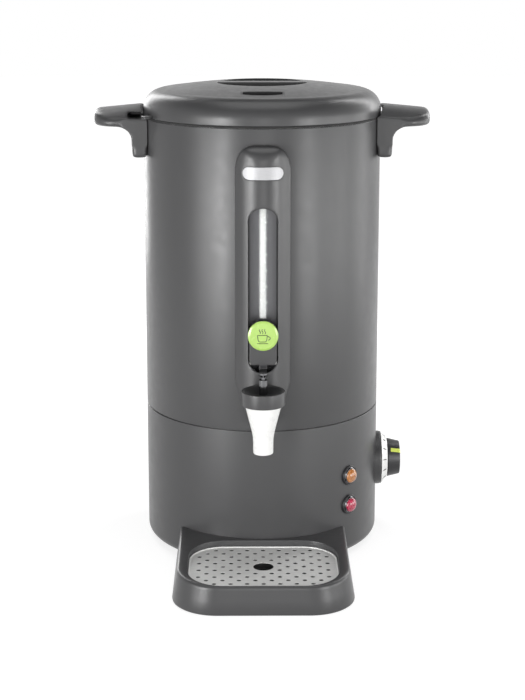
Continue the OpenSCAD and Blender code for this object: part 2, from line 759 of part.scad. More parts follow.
module tap_column() color(charcoal) {
    difference() {
        column_form(0);
        difference() {
            column_form(column_t);
            for (x = [-boss_x, boss_x], z = boss_zs)
                along_y(boss_d/2, face_y - 1, reach - body_r, x, z);
            for (s = [0, 1]) mirror([s, 0, 0])
                block([ear_in, face_y, pivot_z - 5], [ear_in + ear_w, pivot_y + 4.5, pivot_z + 5]);
            block([-column_half, face_y - 1, tube_high - 14],
                  [column_half, reach - body_r, tube_high - 11]);
        }
        along_z(column_back, column_low_z - 10, column_top + 10);
        translate([0, reach - body_r, 0]) rotate([90, 0, 0]) linear_extrude(3*reach) window_plan(0);
        badge_form(0.25, badge_sink, 5);
        for (x = [-boss_x, boss_x], z = boss_zs) along_y(pilot_r, -(body_r + 9), reach - body_r, x, z);
        along_x(pivot_d/2 - 0.01, -ear_in - ear_w + 1, ear_in + ear_w - 1, pivot_y, pivot_z);
        along_z(tube_d/2 + 0.9, tube_high - 20, tube_high, 0, tube_y);
        along_z(port_r + 0.4, inlet_z, tube_low + 8, 0, tube_y);
        along_y(inlet_d/2 + 2.6, face_y - reach, reach - body_r, 0, inlet_z);
        block([-strip_w/2 - 0.3, strip_y - strip_t - 0.3, tube_high - 20],
              [strip_w/2 + 0.3, reach - body_r, tube_high]);
    }
}

module column_screws() color(steel) for (x = [-boss_x, boss_x], z = boss_zs)
    translate([x, screw_head_h + 0.1 - shell_face(boss_x), z]) rotate([90, 0, 0])
        screw(screw_head_h + column_grip, 2*pilot_r - 0.1);

// A piece of the column's rounded face between two depths, with the badge's outline
module badge_form(grow, sink, proud) intersection() {
    translate([0, face_c, 0]) rotate([90, 0, 0]) linear_extrude(2*column_face_r) badge_plan(grow);
    translate([0, face_c, 0]) difference() {
        along_z(column_face_r + proud, badge_z - badge_h, badge_z + badge_h);
        along_z(column_face_r - sink, badge_z - badge_h - 1, badge_z + badge_h + 1);
    }
}

module badge_plate() color(white) badge_form(0, badge_sink - 0.05, badge_t - badge_sink);

module sight_tube() color([0.8, 0.88, 0.9, 0.5]) difference() {
    along_z(tube_d/2, tube_low, tube_high, 0, tube_y);
    along_z(tube_d/2 - tube_t, tube_low - 1, tube_high - 3, 0, tube_y);
    along_y(tube_vent_r, tube_y, reach - body_r, 0, tube_vent_z);
}

module tube_seals() color(black) {
    difference() {
        along_z(tube_d/2 + 2.2, tube_high - 10.9, tube_high - 8.4, 0, tube_y);
        along_z(tube_d/2 + 0.02, tube_high - 12, tube_high - 7, 0, tube_y);
        block([-reach, -body_r - 0.9, tube_high - reach], [reach, reach - body_r, tube_high + reach]);
    }
    difference() {
        along_z(tube_d/2 + 1, tube_low + 0.2, tube_low + 5.8, 0, tube_y);
        along_z(tube_d/2 + 0.02, tube_low - 1, tube_low + 8, 0, tube_y);
    }
}

module gauge_strip() color(white)
    block([-strip_w/2, strip_y - strip_t, strip_low], [strip_w/2, strip_y, tube_high - 12]);

module gauge_marks() color(white) for (i = [0 : mark_count - 1])
    block([1.3, strip_y - strip_t - mark_t, mark_low_z + i*mark_pitch - 0.7],
          [strip_w/2 + 1.5, strip_y - strip_t, mark_low_z + i*mark_pitch + 0.7]);

// -------------------------------------------------------------------- tap ----
// Flat face of the lever inside the window, down to its straight lower edge
module lever_face() intersection() {
    window_plan(-lever_clear);
    translate([-window_half, lever_low]) square([2*window_half, button_z - lever_low]);
}

module push_lever() color(charcoal) difference() {
    union() {
        along_y(button_d/2 - 1.1, boss_front, boss_back, 0, button_z);
        for (s = [-1, 1], a = [30 : 12 : 66]) translate([0, 0, button_z]) rotate([0, s*a, 0])
            translate([-0.8, boss_front, button_d/2 - 1.6]) cube([1.6, boss_back - boss_front - 1, 1.2]);
        translate([0, lever_back, 0]) rotate([90, 0, 0]) linear_extrude(lever_wall) lever_face();
        block([-barrel_half, lever_front, pivot_z], [barrel_half, pivot_y + 3, button_z]);
        along_x(pivot_d/2 + 2.4, -barrel_half, barrel_half, pivot_y, pivot_z);
        block([-arm_half, tap_y - 6, arm_low], [arm_half, lever_back, arm_low + arm_t]);
        block([-arm_half, lever_front, arm_low], [arm_half, lever_back, pivot_z + 2]);
    }
    along_x(pivot_d/2 + fit, -lever_half - 1, lever_half + 1, pivot_y, pivot_z);
    // channel that straddles the sight tube, deeper towards the top where the lever swings further
    block([-channel_half, lever_back, arm_low - 2], [channel_half, reach - body_r, button_z + button_d]);
    block([-channel_half, boss_front - 1, button_z - 12],
          [channel_half, reach - body_r, button_z + button_d]);
    // open-ended slot for the neck of the valve stem
    block([-stem_neck_d/2 - 0.4, tap_y - 8, arm_low - 1],
          [stem_neck_d/2 + 0.4, tap_y + stem_neck_d/2 + 0.9, arm_low + arm_t + 1]);
}

module button_cap() color(lime) {
    along_y(button_d/2 - 1.2, button_face, button_face + 1, 0, button_z, button_d/2);
    along_y(button_d/2, button_face + 1 - eps, boss_front, 0, button_z);
}

// A plain cup with two wisps of steam, in low relief
module button_icon() color(black)
translate([0, button_face, button_z]) rotate([90, 0, 0]) linear_extrude(0.3) {
    difference() {
        union() {
            translate([-4, -5]) square([8, 6]);
            translate([4, -2]) circle(2.2);
        }
        translate([-3.2, -4.2]) square([6.4, 4.4]);
        translate([4.2, -2]) circle(1.4);
    }
    for (x = [-1.8, 1.2]) translate([x, 2]) square([0.8, 3.4]);
}

module lever_pins() color(steel) for (s = [0, 1]) mirror([s, 0, 0])
    along_x(pivot_d/2 - 0.02, channel_half + 0.3, ear_in + ear_w - 1.1, pivot_y, pivot_z);

// Return spring between the lever and the shell, beside the sight tube
module lever_spring() color(steel) translate([spring_x, 0, spring_z]) rotate([90, 0, 0])
    spring(3, 0.4, body_r + 0.15, -boss_back - 0.15, 3);

module tap_collar() color(charcoal) difference() {
    along_z(collar_d/2, collar_low_z, collar_top, 0, tap_y);
    translate([0, tap_y, collar_top - dish])
        cylinder(r1 = collar_d/2 - 8, r2 = collar_d/2 - 1.4, h = dish + eps);
    along_z(stem_d/2 + fit, collar_low_z - 1, collar_top + 1, 0, tap_y);
    along_z(spout_top_d/2 + 0.05, collar_low_z - 1, collar_low_z + spout_lap, 0, tap_y);
}

module spout_outline() polygon([[0, spout_low_z], [spout_d/2 - 2, spout_low_z],
    [spout_d/2 - 0.5, spout_low_z + 1.2], [spout_d/2, spout_low_z + 3], [spout_d/2, spout_cone_z - 4],
    [spout_d/2 + 0.3, spout_cone_z], [spout_top_d/2, collar_low_z],
    [spout_top_d/2, collar_low_z + spout_lap - 0.02], [0, collar_low_z + spout_lap - 0.02]]);

module spout_inside() polygon([[0, spout_low_z - 1], [spout_bore/2, spout_low_z - 1],
    [spout_bore/2, seat_z - 2],
    [spout_bore/2 + 1.5, seat_z], [spout_d/2 + 0.2, seat_z + 1.5],
    [spout_top_d/2 - chamber_wall, collar_low_z], [spout_top_d/2 - chamber_wall, collar_low_z + 10],
    [0, collar_low_z + 10]]);

module spout() color(white) difference() {
    union() {
        translate([0, tap_y, 0]) rotate_extrude() spout_outline();
        along_y(inlet_d/2 + 2, tap_y + 8, tap_y + spout_top_d/2 + socket_len, 0, inlet_z);
    }
    translate([0, tap_y, 0]) rotate_extrude() spout_inside();
    along_y(inlet_d/2 - 2.5, tap_y, tap_y + 40, 0, inlet_z);
    along_y(inlet_d/2 + 0.02, tap_y + spout_top_d/2, tap_y + 60, 0, inlet_z);
}

module valve_stem() color(steel) {
    along_z(stem_d/2, collar_low_z - 2, stem_shoulder, 0, tap_y);
    along_z(stem_neck_d/2, stem_shoulder - eps, stem_head_z + eps, 0, tap_y);
    along_z(stem_d/2 - 0.3, stem_head_z, stem_head_z + stem_head_t, 0, tap_y);
    along_z(2.2, seat_z + 3, collar_low_z - 2 + eps, 0, tap_y);
}

module seat_cup() color([0.85, 0.85, 0.82]) difference() {
    translate([0, tap_y, seat_z + 0.2]) cylinder(r1 = spout_bore/2 + 0.4, r2 = spout_d/2 - 0.6, h = cup_h);
    along_z(2.22, seat_z + 3, seat_z + cup_h + 1, 0, tap_y);
}

module valve_spring() color(steel) translate([0, tap_y, 0])
    spring(5.2, 0.5, seat_z + cup_h + 0.5, collar_low_z + spout_lap - 0.2, 4);

module tap_body() color(steel) difference() {
    union() {
        along_y(inlet_d/2, tap_y + spout_top_d/2 + 0.1, -tap_inner, 0, inlet_z);
        along_z(port_r, inlet_z, tube_low + 6, 0, tube_y);
    }
    along_y(inlet_d/2 - 2.5, tap_y, -tap_inner + 1, 0, inlet_z);
    along_z(tube_d/2 - tube_t, inlet_z, tube_low + 1, 0, tube_y);
    along_z(tube_d/2 + 1.02, tube_low, tube_low + 10, 0, tube_y);
    along_z(body_r + 0.3, inlet_z + inlet_d/2, tube_low + 10);
}

module tap_washers() color(black) {
    difference() {
        along_y(washer_r, -tank_in + 1.1, -tank_in + 1.1 + washer_t, 0, inlet_z);
        along_y(inlet_d/2 + 0.1, -tank_r, -tank_in + 10, 0, inlet_z);
    }
    difference() {
        along_y(washer_r, -shell_in + 0.8, -tank_r - 0.3, 0, inlet_z);
        along_y(inlet_d/2 + 0.1, -body_r, -tank_in, 0, inlet_z);
    }
}

module tap_nut() color(steel) difference() {
    translate([0, -tank_in + 1.2 + washer_t, inlet_z]) rotate([-90, 0, 0])
        cylinder(r = inlet_d/2 + 3.4, h = nut_t, $fn = 6);
    along_y(inlet_d/2 + 0.05, -tank_in, -tap_inner + 1, 0, inlet_z);
}

// --------------------------------------------------------------- controls ----
module knob_skirt() color(charcoal) difference() {
    along_x(skirt_d/2, body_r - 6, body_r + skirt_out, 0, knob_z, skirt_d/2 - 0.6);
    along_z(body_r + 0.06, knob_z - skirt_d, knob_z + skirt_d);
    along_x(bush_d/2 + 3.5, body_r - 8, body_r + 20, 0, knob_z);
}

module dial_ring() color(white) difference() {
    along_x(dial_out_r, dial_x, dial_x + dial_h, 0, knob_z, dial_in_r);
    along_x(bush_d/2 + 3.5, dial_x - 1, dial_x + dial_h + 1, 0, knob_z);
}

module dial_marks() color(black) for (i = [0 : 9])
    translate([dial_x + dial_h/2, 0, knob_z]) rotate([dial_first + i*dial_step, 0, 0])
        translate([0, 0, (dial_out_r + dial_in_r)/2]) rotate([0, atan((dial_out_r - dial_in_r)/dial_h), 0])
            translate([-2.6, -0.45, 0.02]) cube([5.2, 0.9, 0.25]);

module knob_grip() color(black) difference() {
    union() {
        along_x(grip_foot_d/2, knob_x, knob_x + grip_len - 1, 0, knob_z, grip_face_d/2 + 0.25);
        along_x(grip_face_d/2 + 0.25, knob_x + grip_len - 1, knob_x + grip_len, 0, knob_z,
                grip_face_d/2 - 0.8);
    }
    along_x(shaft_d/2 + 0.02, knob_x - 1, knob_x + 10, 0, knob_z);
    translate([0, 0, knob_z]) rotate([90 - pointer_angle, 0, 0]) translate([knob_x + 4.4, -1.5, 6])
        cube([20, 3, 20]);
}

module knob_pointer() color(lime) intersection() {
    translate([0, 0, knob_z]) rotate([90 - pointer_angle, 0, 0]) translate([knob_x + 4.45, -1.45, 6.05])
        cube([20, 2.9, 20]);
    along_x(grip_foot_d/2 + 0.3, knob_x, knob_x + grip_len + 0.3, 0, knob_z, grip_face_d/2 + 0.3);
}

module thermostat_body() color(steel) difference() {
    union() {
        block([stat_x - stat_size[0], -stat_size[1]/2, knob_z - stat_size[2]/2],
              [stat_x - 3, stat_size[1]/2, knob_z + stat_size[2]/2]);
        along_x(bush_d/2, stat_x - 4, body_r + 4, 0, knob_z);
    }
    along_x(shaft_d/2 + fit, stat_x - 12, body_r + 10, 0, knob_z);
}

module thermostat_shaft() color(steel) along_x(shaft_d/2, stat_x - 11.8, knob_x + 9.8, 0, knob_z);

module thermostat_nut() color(steel) difference() {
    translate([body_r + 0.1, 0, knob_z]) rotate([0, 90, 0]) cylinder(r = bush_d/2 + 3, h = 3, $fn = 6);
    along_x(bush_d/2 + 0.02, body_r - 1, body_r + 10, 0, knob_z);
}

cap_x = stat_x - stat_size[0] - 0.15;            // where the capillary leaves the thermostat
cap_route = [[cap_x, -8, knob_z + 8], [cap_x - 4, -8, knob_z + 8], [90, -16, 104],
    [88, -30, 128], [84, -34, 144], [bulb_x + 2, -32, bulb_z - 2], [bulb_x, -26, bulb_z]];
module capillary() color([0.72, 0.45, 0.2]) sweep(smooth(cap_route, 5), 1.1);
module sensor_bulb() color([0.72, 0.45, 0.2]) along_y(3.8, -25.8, 26, bulb_x, bulb_z);

// --------------------------------------------------------------- lights ------
module lamp_bezels() color(steel) for (z = [amber_z, red_z]) at_angle(lamp_angle, z) difference() {
    union() {
        along_x(bezel_d/2, body_r - base_wall - 1.6, body_r + 1, 0, 0);
        along_x(bezel_d/2, body_r + 1 - eps, body_r + 2, 0, 0, bezel_d/2 - 1);
    }
    along_x(lens_d/2 + 0.05, body_r - 2, body_r + 10);
    along_x(lens_d/2 + 0.4, body_r + 0.2, body_r + 2.2, 0, 0, bezel_d/2 - 1.4);
    along_x(lamp_body_d/2 + 0.05, body_r - 30, body_r);
}

module lens(z) at_angle(lamp_angle, z) {
    dome_r = lens_d*0.62;
    translate([body_r, 0, 0]) rotate([0, 90, 0]) rotate_extrude() intersection() {
        translate([0, lens_out - dome_r]) circle(dome_r);
        translate([0, -1.9]) square([lens_d/2, lens_out + 4]);
    }
}
module lens_amber() color([0.95, 0.55, 0.12]) lens(amber_z);
module lens_red() color([0.85, 0.12, 0.2]) lens(red_z);

module lamp_bodies() color(black) for (z = [amber_z, red_z]) at_angle(lamp_angle, z) {
    along_x(lamp_body_d/2, body_r - lamp_deep, body_r - 2);
    for (s = [-3, 3])
        block([body_r - lamp_deep - 6, s - 0.4, -2.4], [body_r - lamp_deep + 1, s + 0.4, 2.4]);
}

module lamp_nuts() color(steel) for (z = [amber_z, red_z]) at_angle(lamp_angle, z) difference() {
    translate([body_r - base_wall - 5, 0, 0]) rotate([0, 90, 0])
        cylinder(r = bezel_d/2 + 1, h = 3, $fn = 6);
    along_x(lamp_body_d/2 + 0.05, body_r - 30, body_r);
}

// ----------------------------------------------------------------- heater ----
module heater_plate() color(steel) difference() {
    along_z(heater_r, tank_z - heater_t, tank_z);
    along_z(stud_d/2 + 0.3, tank_z - heater_t - 1, tank_z + 1);
}

module heating_element() color([0.45, 0.42, 0.4]) {
    translate([0, 0, element_z]) rotate([0, 0, 90 + element_open/2])
        rotate_extrude(angle = 360 - element_open) translate([element_ring, 0]) circle(element_r);
    for (s = [-1, 1]) rotate([0, 0, 90 + s*element_open/2]) translate([element_ring, 0, 0])
        along_z(2.2, element_z - pin_drop, element_z);
}

module heater_clamp() color(steel) difference() {
    block([-clamp_half, -clamp_w/2, clamp_z], [clamp_half, clamp_w/2, clamp_z + clamp_t]);
    along_z(stud_d/2 + 0.2, clamp_z - 1, clamp_z + clamp_t + 1);
}

module heater_stud() color(steel) along_z(stud_d/2, clamp_z - 9, tank_z - 0.02);

module heater_nut() color(steel) difference() {
    translate([0, 0, clamp_z - 5]) cylinder(r = 5.8, h = 4.9, $fn = 6);
    along_z(stud_d/2 + 0.03, clamp_z - 6, clamp_z + 1);
}

module thermal_cutout() color(black) {
    along_z(cutout_r, tank_z - heater_t - 10, tank_z - heater_t - 0.05, 0, -32);
    for (x = [-5, 5])
        block([x - 3, -32.4, tank_z - heater_t - 17], [x + 3, -31.6, tank_z - heater_t - 9.9]);
}

module terminal_block() color(white) difference() {
    block([block_x - 14, 20, plate_z + plate_t], [block_x + 14, 62, block_top]);
    for (i = [0 : 2]) along_z(2.6, block_top - 6, block_top + 1, block_x, 28 + i*13);
}

lead_out = 15;                                   // the block's half width and a lead's slant
lead_routes = [
    [[block_x + lead_out, 28, 22], [-18, 30, 26], [10, 34, 60], [34, 40, 100], [30, 50, 124],
     [19.8, 54.5, element_z - pin_drop - 1]],
    [[block_x + lead_out, 41, 22], [-20, 46, 28], [-16, 56, 60], [-16, 60, 100], [-19, 57, 122],
     [-19.8, 54.5, element_z - pin_drop - 1]],
    [[block_x + lead_out, 54, 20], [-10, 60, 24], [40, 50, 40], [74, 20, 60],
     [stat_x - stat_size[0] - 1.1, 6, knob_z - 6]]];
module wire_leads() color([0.2, 0.2, 0.22]) for (route = lead_routes) sweep(smooth(route, 5), 1.5);

module cable_gland() color(black) difference() {
    union() {
        along_y(gland_r, body_r - 14, body_r + 10, 0, gland_z);
        translate([0, body_r + 0.1, gland_z]) rotate([-90, 0, 0]) cylinder(r = 12, h = 6, $fn = 6);
        along_y(9.5, body_r + 6, body_r + 15, 0, gland_z, 6.5);
        translate([0, body_r - base_wall - 6.2, gland_z]) rotate([-90, 0, 0])
            cylinder(r = 12, h = 5, $fn = 6);
    }
    along_y(4, body_r - 16, body_r + 20, 0, gland_z);
}

// ------------------------------------------------------------------- tray ----
module tray_outline(inset, front) hull() {
    for (s = [-1, 1]) {
        translate([s*(tray_half - inset - tray_corner), tray_corner - front])
            circle(tray_corner, $fn = 48);
        translate([s*(tray_half - inset - 1), -70]) circle(1, $fn = 16);
    }
}

module grille_outline(grow) round_rect([-grille_half - grow, -grille_front - grow],
    [grille_half + grow, -grille_back + grow], grille_corner + grow);

module drip_tray() color(charcoal) difference() {
    hull() {
        linear_extrude(1) tray_outline(0.8, tray_front - 0.8);
        translate([0, 0, 2]) linear_extrude(1) tray_outline(0, tray_front);
        translate([0, 0, tray_rim_z - 4]) linear_extrude(1)
            tray_outline(tray_lean*0.8, tray_front - tray_lean*0.5);
        translate([0, 0, tray_back_z]) linear_extrude(1)
            tray_outline(tray_lean + 1, tray_front - tray_lean);
    }
    // rim that climbs from the front to the shell
    translate([-150, -tray_front, tray_rim_z])
        rotate([atan((tray_back_z - tray_rim_z)/(tray_front - body_r)), 0, 0])
            translate([0, -40, 0]) cube([300, 260, 40]);
    along_z(body_r + tray_gap, -1, 60);
    translate([0, 0, grille_z - grille_t]) linear_extrude(40) grille_outline(grille_clear);
    translate([0, 0, tray_floor_t]) linear_extrude(40) intersection() {
        grille_outline(-ledge_w);
        translate([-100, -300]) square([200, 300 - body_r - tray_gap - 4]);
    }
}

function grille_rows() = [for (j = [-5 : 5]) j];
module grille_holes() for (j = grille_rows()) {
    odd = abs(j) % 2;
    last = abs(j) == 5 ? 3 : 4;
    y = -(grille_front + grille_back)/2 + j*row_pitch;
    for (i = [-last : 1 : last]) {
        x = (i + (odd == 0 ? 0.5 : 0))*hole_pitch;
        if (x < (last + 0.1)*hole_pitch && norm([x, j*row_pitch]) > drain_d/2 + hole_d/2 + 1)
            translate([x, y]) circle(d = hole_d, $fn = 24);
    }
}

module drip_grille() color(steel)
translate([0, 0, grille_z - grille_t]) linear_extrude(grille_t) difference() {
    grille_outline(0);
    translate([0, -(grille_front + grille_back)/2]) circle(d = drain_d);
    grille_holes();
}

upper_shell();
base_housing();
base_plate();
feet();
base_screws();
inner_tank();
lid_shell();
lid_liner();
lid_seal();
lid_screws();
steam_vent();
handle_left();
handle_right();
handle_screws();
tap_column();
column_screws();
badge_plate();
sight_tube();
tube_seals();
gauge_strip();
gauge_marks();
push_lever();
button_cap();
button_icon();
lever_pins();
lever_spring();
tap_collar();
spout();
valve_stem();
seat_cup();
valve_spring();
tap_body();
tap_washers();
tap_nut();
knob_skirt();
dial_ring();
dial_marks();
knob_grip();
knob_pointer();
thermostat_body();
thermostat_shaft();
thermostat_nut();
capillary();
sensor_bulb();
lamp_bezels();
lens_amber();
lens_red();
lamp_bodies();
lamp_nuts();
heater_plate();
heating_element();
heater_clamp();
heater_stud();
heater_nut();
thermal_cutout();
terminal_block();
wire_leads();
cable_gland();
drip_tray();
drip_grille();
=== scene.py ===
"""Looks of the hot water urn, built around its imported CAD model. Units are metres."""

import json
import math

import bmesh
import bpy
from mathutils import Matrix, Vector
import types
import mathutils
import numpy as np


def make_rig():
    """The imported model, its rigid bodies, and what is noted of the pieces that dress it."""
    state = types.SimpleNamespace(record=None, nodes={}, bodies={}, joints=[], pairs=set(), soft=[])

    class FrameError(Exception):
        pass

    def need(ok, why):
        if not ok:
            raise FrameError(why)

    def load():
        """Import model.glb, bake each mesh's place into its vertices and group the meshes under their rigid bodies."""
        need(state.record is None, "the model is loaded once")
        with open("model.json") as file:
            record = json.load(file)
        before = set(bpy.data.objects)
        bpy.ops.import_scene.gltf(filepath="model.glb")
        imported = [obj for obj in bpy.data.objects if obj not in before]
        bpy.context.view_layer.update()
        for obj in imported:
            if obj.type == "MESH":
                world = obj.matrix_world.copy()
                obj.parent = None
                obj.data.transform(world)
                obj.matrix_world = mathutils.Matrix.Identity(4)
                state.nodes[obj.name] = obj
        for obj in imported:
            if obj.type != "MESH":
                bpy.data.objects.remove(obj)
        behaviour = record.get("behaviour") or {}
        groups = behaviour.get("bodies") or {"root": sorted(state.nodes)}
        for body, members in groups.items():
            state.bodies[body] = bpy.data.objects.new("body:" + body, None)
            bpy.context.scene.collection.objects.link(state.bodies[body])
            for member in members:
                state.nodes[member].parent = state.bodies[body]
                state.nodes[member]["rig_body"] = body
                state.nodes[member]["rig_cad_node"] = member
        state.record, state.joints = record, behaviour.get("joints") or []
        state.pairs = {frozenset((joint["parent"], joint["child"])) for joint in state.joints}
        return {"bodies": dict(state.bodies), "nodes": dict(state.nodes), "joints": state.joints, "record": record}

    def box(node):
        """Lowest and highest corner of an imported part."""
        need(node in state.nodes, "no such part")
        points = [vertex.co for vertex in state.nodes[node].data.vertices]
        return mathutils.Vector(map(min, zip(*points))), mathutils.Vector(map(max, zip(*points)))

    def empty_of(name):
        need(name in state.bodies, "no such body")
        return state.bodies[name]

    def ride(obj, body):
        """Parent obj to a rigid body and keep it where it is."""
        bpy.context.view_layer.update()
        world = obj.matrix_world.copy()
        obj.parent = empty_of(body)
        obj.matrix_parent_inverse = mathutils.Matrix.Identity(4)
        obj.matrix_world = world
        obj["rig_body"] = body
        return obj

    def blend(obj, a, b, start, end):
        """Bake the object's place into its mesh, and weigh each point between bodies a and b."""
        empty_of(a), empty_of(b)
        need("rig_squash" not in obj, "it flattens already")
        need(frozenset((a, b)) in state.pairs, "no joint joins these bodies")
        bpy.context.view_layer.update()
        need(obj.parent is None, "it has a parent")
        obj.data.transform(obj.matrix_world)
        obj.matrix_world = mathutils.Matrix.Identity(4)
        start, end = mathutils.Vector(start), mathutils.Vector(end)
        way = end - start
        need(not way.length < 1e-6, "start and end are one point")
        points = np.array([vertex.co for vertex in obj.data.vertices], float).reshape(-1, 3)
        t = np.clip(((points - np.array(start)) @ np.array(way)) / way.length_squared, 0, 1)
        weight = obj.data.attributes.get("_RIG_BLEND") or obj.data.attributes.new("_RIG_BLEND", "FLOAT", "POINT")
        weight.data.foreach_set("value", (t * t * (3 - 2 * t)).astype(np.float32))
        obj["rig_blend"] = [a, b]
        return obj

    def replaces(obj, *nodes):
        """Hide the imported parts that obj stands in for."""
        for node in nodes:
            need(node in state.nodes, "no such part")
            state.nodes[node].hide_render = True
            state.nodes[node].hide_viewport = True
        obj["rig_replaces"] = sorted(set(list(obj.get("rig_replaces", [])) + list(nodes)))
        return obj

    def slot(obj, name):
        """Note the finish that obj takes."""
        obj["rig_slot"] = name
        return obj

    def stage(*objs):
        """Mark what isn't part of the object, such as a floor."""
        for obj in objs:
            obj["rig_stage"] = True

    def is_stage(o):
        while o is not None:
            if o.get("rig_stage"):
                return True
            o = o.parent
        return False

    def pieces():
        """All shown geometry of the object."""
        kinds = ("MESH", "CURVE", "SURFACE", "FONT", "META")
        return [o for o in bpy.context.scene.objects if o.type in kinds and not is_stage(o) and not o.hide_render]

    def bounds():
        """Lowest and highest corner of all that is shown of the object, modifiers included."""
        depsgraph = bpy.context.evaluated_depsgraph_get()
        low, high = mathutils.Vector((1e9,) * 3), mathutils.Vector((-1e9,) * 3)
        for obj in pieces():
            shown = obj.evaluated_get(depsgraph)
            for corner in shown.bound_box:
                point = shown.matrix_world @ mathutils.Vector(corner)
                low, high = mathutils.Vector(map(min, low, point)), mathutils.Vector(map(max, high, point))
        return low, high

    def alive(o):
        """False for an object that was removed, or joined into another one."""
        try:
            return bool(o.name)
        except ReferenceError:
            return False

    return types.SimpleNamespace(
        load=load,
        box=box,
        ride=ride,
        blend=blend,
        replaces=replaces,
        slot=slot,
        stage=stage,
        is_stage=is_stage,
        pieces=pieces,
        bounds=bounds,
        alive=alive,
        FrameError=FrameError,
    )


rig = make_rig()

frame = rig.load()
cad_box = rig.bounds()
nodes = frame["nodes"]

MM = 0.001
TURN = 192                  # segments of the large turned pieces
SHARP = math.radians(38)    # edges steeper than this stay crisp


# ------------------------------------------------------------------ sizes ----
def low(node):
    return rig.box(node)[0]


def high(node):
    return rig.box(node)[1]


def centre(node):
    a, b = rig.box(node)
    return (a + b)/2


BODY_R = high("upper_shell").x
SHELL_LOW, SHELL_TOP = low("upper_shell").z, high("upper_shell").z
SEAM_LOW = SHELL_LOW - 1.2*MM
FOOT_H = low("base_housing").z
BASE_FILLET = 9.5*MM
LID_LOW = SHELL_TOP + 2.4*MM
LID_R = BODY_R + 0.5*MM
LID_TOP = high("lid_shell").z
TAP_Y = centre("tap_collar").y
BUTTON = Vector((0, low("button_cap").y, centre("button_cap").z))
KNOB_Z = centre("knob_skirt").z
GRIP_FACE_R = 18.1*MM       # the knob's grip at its front, narrower than at its foot
LEVER_SPLIT = 226.8*MM      # below this height the lever is made black, as painted shade under its face
DOME_FOOT = 428*MM          # where the front column starts to round over


# ---------------------------------------------------------------- colours ----
def tone(r, g, b):
    """A colour given as it shows on a screen, 0 to 255, as the shader wants it."""
    def linear(c):
        return c/255/12.92 if c < 10.3 else ((c/255 + 0.055)/1.055)**2.4

    return linear(r), linear(g), linear(b), 1


CHARCOAL = tone(63, 63, 64)
CHARCOAL_PLASTIC = tone(62, 62, 63)
BLACK = tone(34, 34, 36)
WHITE = tone(244, 244, 242)
LIME = tone(175, 211, 106)
POINTER_LIME = tone(226, 240, 112)
STEEL = tone(240, 240, 238)
SILVER = tone(184, 184, 186)


# -------------------------------------------------------------- materials ----
class Surface:
    """A Principled material with helpers for its procedural detail."""

    def __init__(self, name, colour, roughness=0.5, metallic=0.0, **sockets):
        self.material = bpy.data.materials.new(name)
        self.material.use_nodes = True
        self.tree = self.material.node_tree
        self.shader = self.tree.nodes["Principled BSDF"]
        self.colour = colour
        self.set("Base Color", colour)
        self.set("Roughness", roughness)
        self.set("Metallic", metallic)
        for socket, value in sockets.items():
            self.set(socket.replace("_", " "), value)
        self.place = self.add("ShaderNodeTexCoord").outputs["Object"]
        self.normal = None

    def set(self, socket, value):
        self.shader.inputs[socket].default_value = value

    def add(self, kind, **inputs):
        node = self.tree.nodes.new(kind)
        for name, value in inputs.items():
            node.inputs[name.replace("_", " ")].default_value = value
        return node

    def link(self, a, b):
        self.tree.links.new(a, b)

    def noise(self, scale, detail=2.0, stretch=(1, 1, 1)):
        """A noise value between 0 and 1; scale is in features a metre."""
        mapping = self.add("ShaderNodeMapping", Scale=stretch)
        self.link(self.place, mapping.inputs["Vector"])
        node = self.add("ShaderNodeTexNoise", Scale=scale, Detail=detail)
        self.link(mapping.outputs["Vector"], node.inputs["Vector"])
        return node.outputs["Fac"]

    def between(self, value, a, b):
        """Maps the middle of a noise value's range to a..b."""
        node = self.add("ShaderNodeMapRange")
        node.inputs["From Min"].default_value = 0.3
        node.inputs["From Max"].default_value = 0.7
        node.inputs["To Min"].default_value = a
        node.inputs["To Max"].default_value = b
        self.link(value, node.inputs["Value"])
        return node.outputs["Result"]

    def vary_roughness(self, value, a, b):
        self.link(self.between(value, a, b), self.shader.inputs["Roughness"])
        return self

    def vary_colour(self, value, amount, other=None):
        """Mixes the colour with a darker or other one where the noise is high."""
        other = other or tuple(c*(1 - amount) for c in self.colour[:3]) + (1,)
        mix = self.add("ShaderNodeMix")
        mix.data_type = "RGBA"
        mix.inputs[6].default_value = self.colour
        mix.inputs[7].default_value = other
        self.link(self.between(value, 0, 1), mix.inputs[0])
        self.link(mix.outputs[2], self.shader.inputs["Base Color"])
        return self

    def bump(self, value, height, strength=0.5):
        """Adds relief of a given height in millimetres."""
        node = self.add("ShaderNodeBump", Strength=strength, Distance=height*MM)
        self.link(value, node.inputs["Height"])
        if self.normal:
            self.link(self.normal, node.inputs["Normal"])
        self.normal = node.outputs["Normal"]
        self.link(self.normal, self.shader.inputs["Normal"])
        return self


def powder_coat(name, colour):
    s = Surface(name, colour, 0.36)
    s.vary_roughness(s.noise(90, 3), 0.33, 0.39)
    s.vary_colour(s.noise(35, 4), 0.04)
    return s.bump(s.noise(1500, 2), 0.03, 0.3).material


def moulded(name, colour, roughness=0.34, grain=0.006):
    s = Surface(name, colour, roughness)
    s.vary_roughness(s.noise(140, 3), roughness - 0.03, roughness + 0.04)
    s.vary_colour(s.noise(60, 4), 0.05)
    return s.bump(s.noise(900, 2), grain, 0.2).material


def glossy_plastic(name, colour, roughness=0.2):
    s = Surface(name, colour, roughness, Coat_Weight=0.3, Coat_Roughness=0.1)
    s.vary_roughness(s.noise(220, 3), roughness - 0.03, roughness + 0.04)
    s.vary_colour(s.noise(80, 3), 0.02)
    return s.bump(s.noise(500, 2), 0.008, 0.1).material


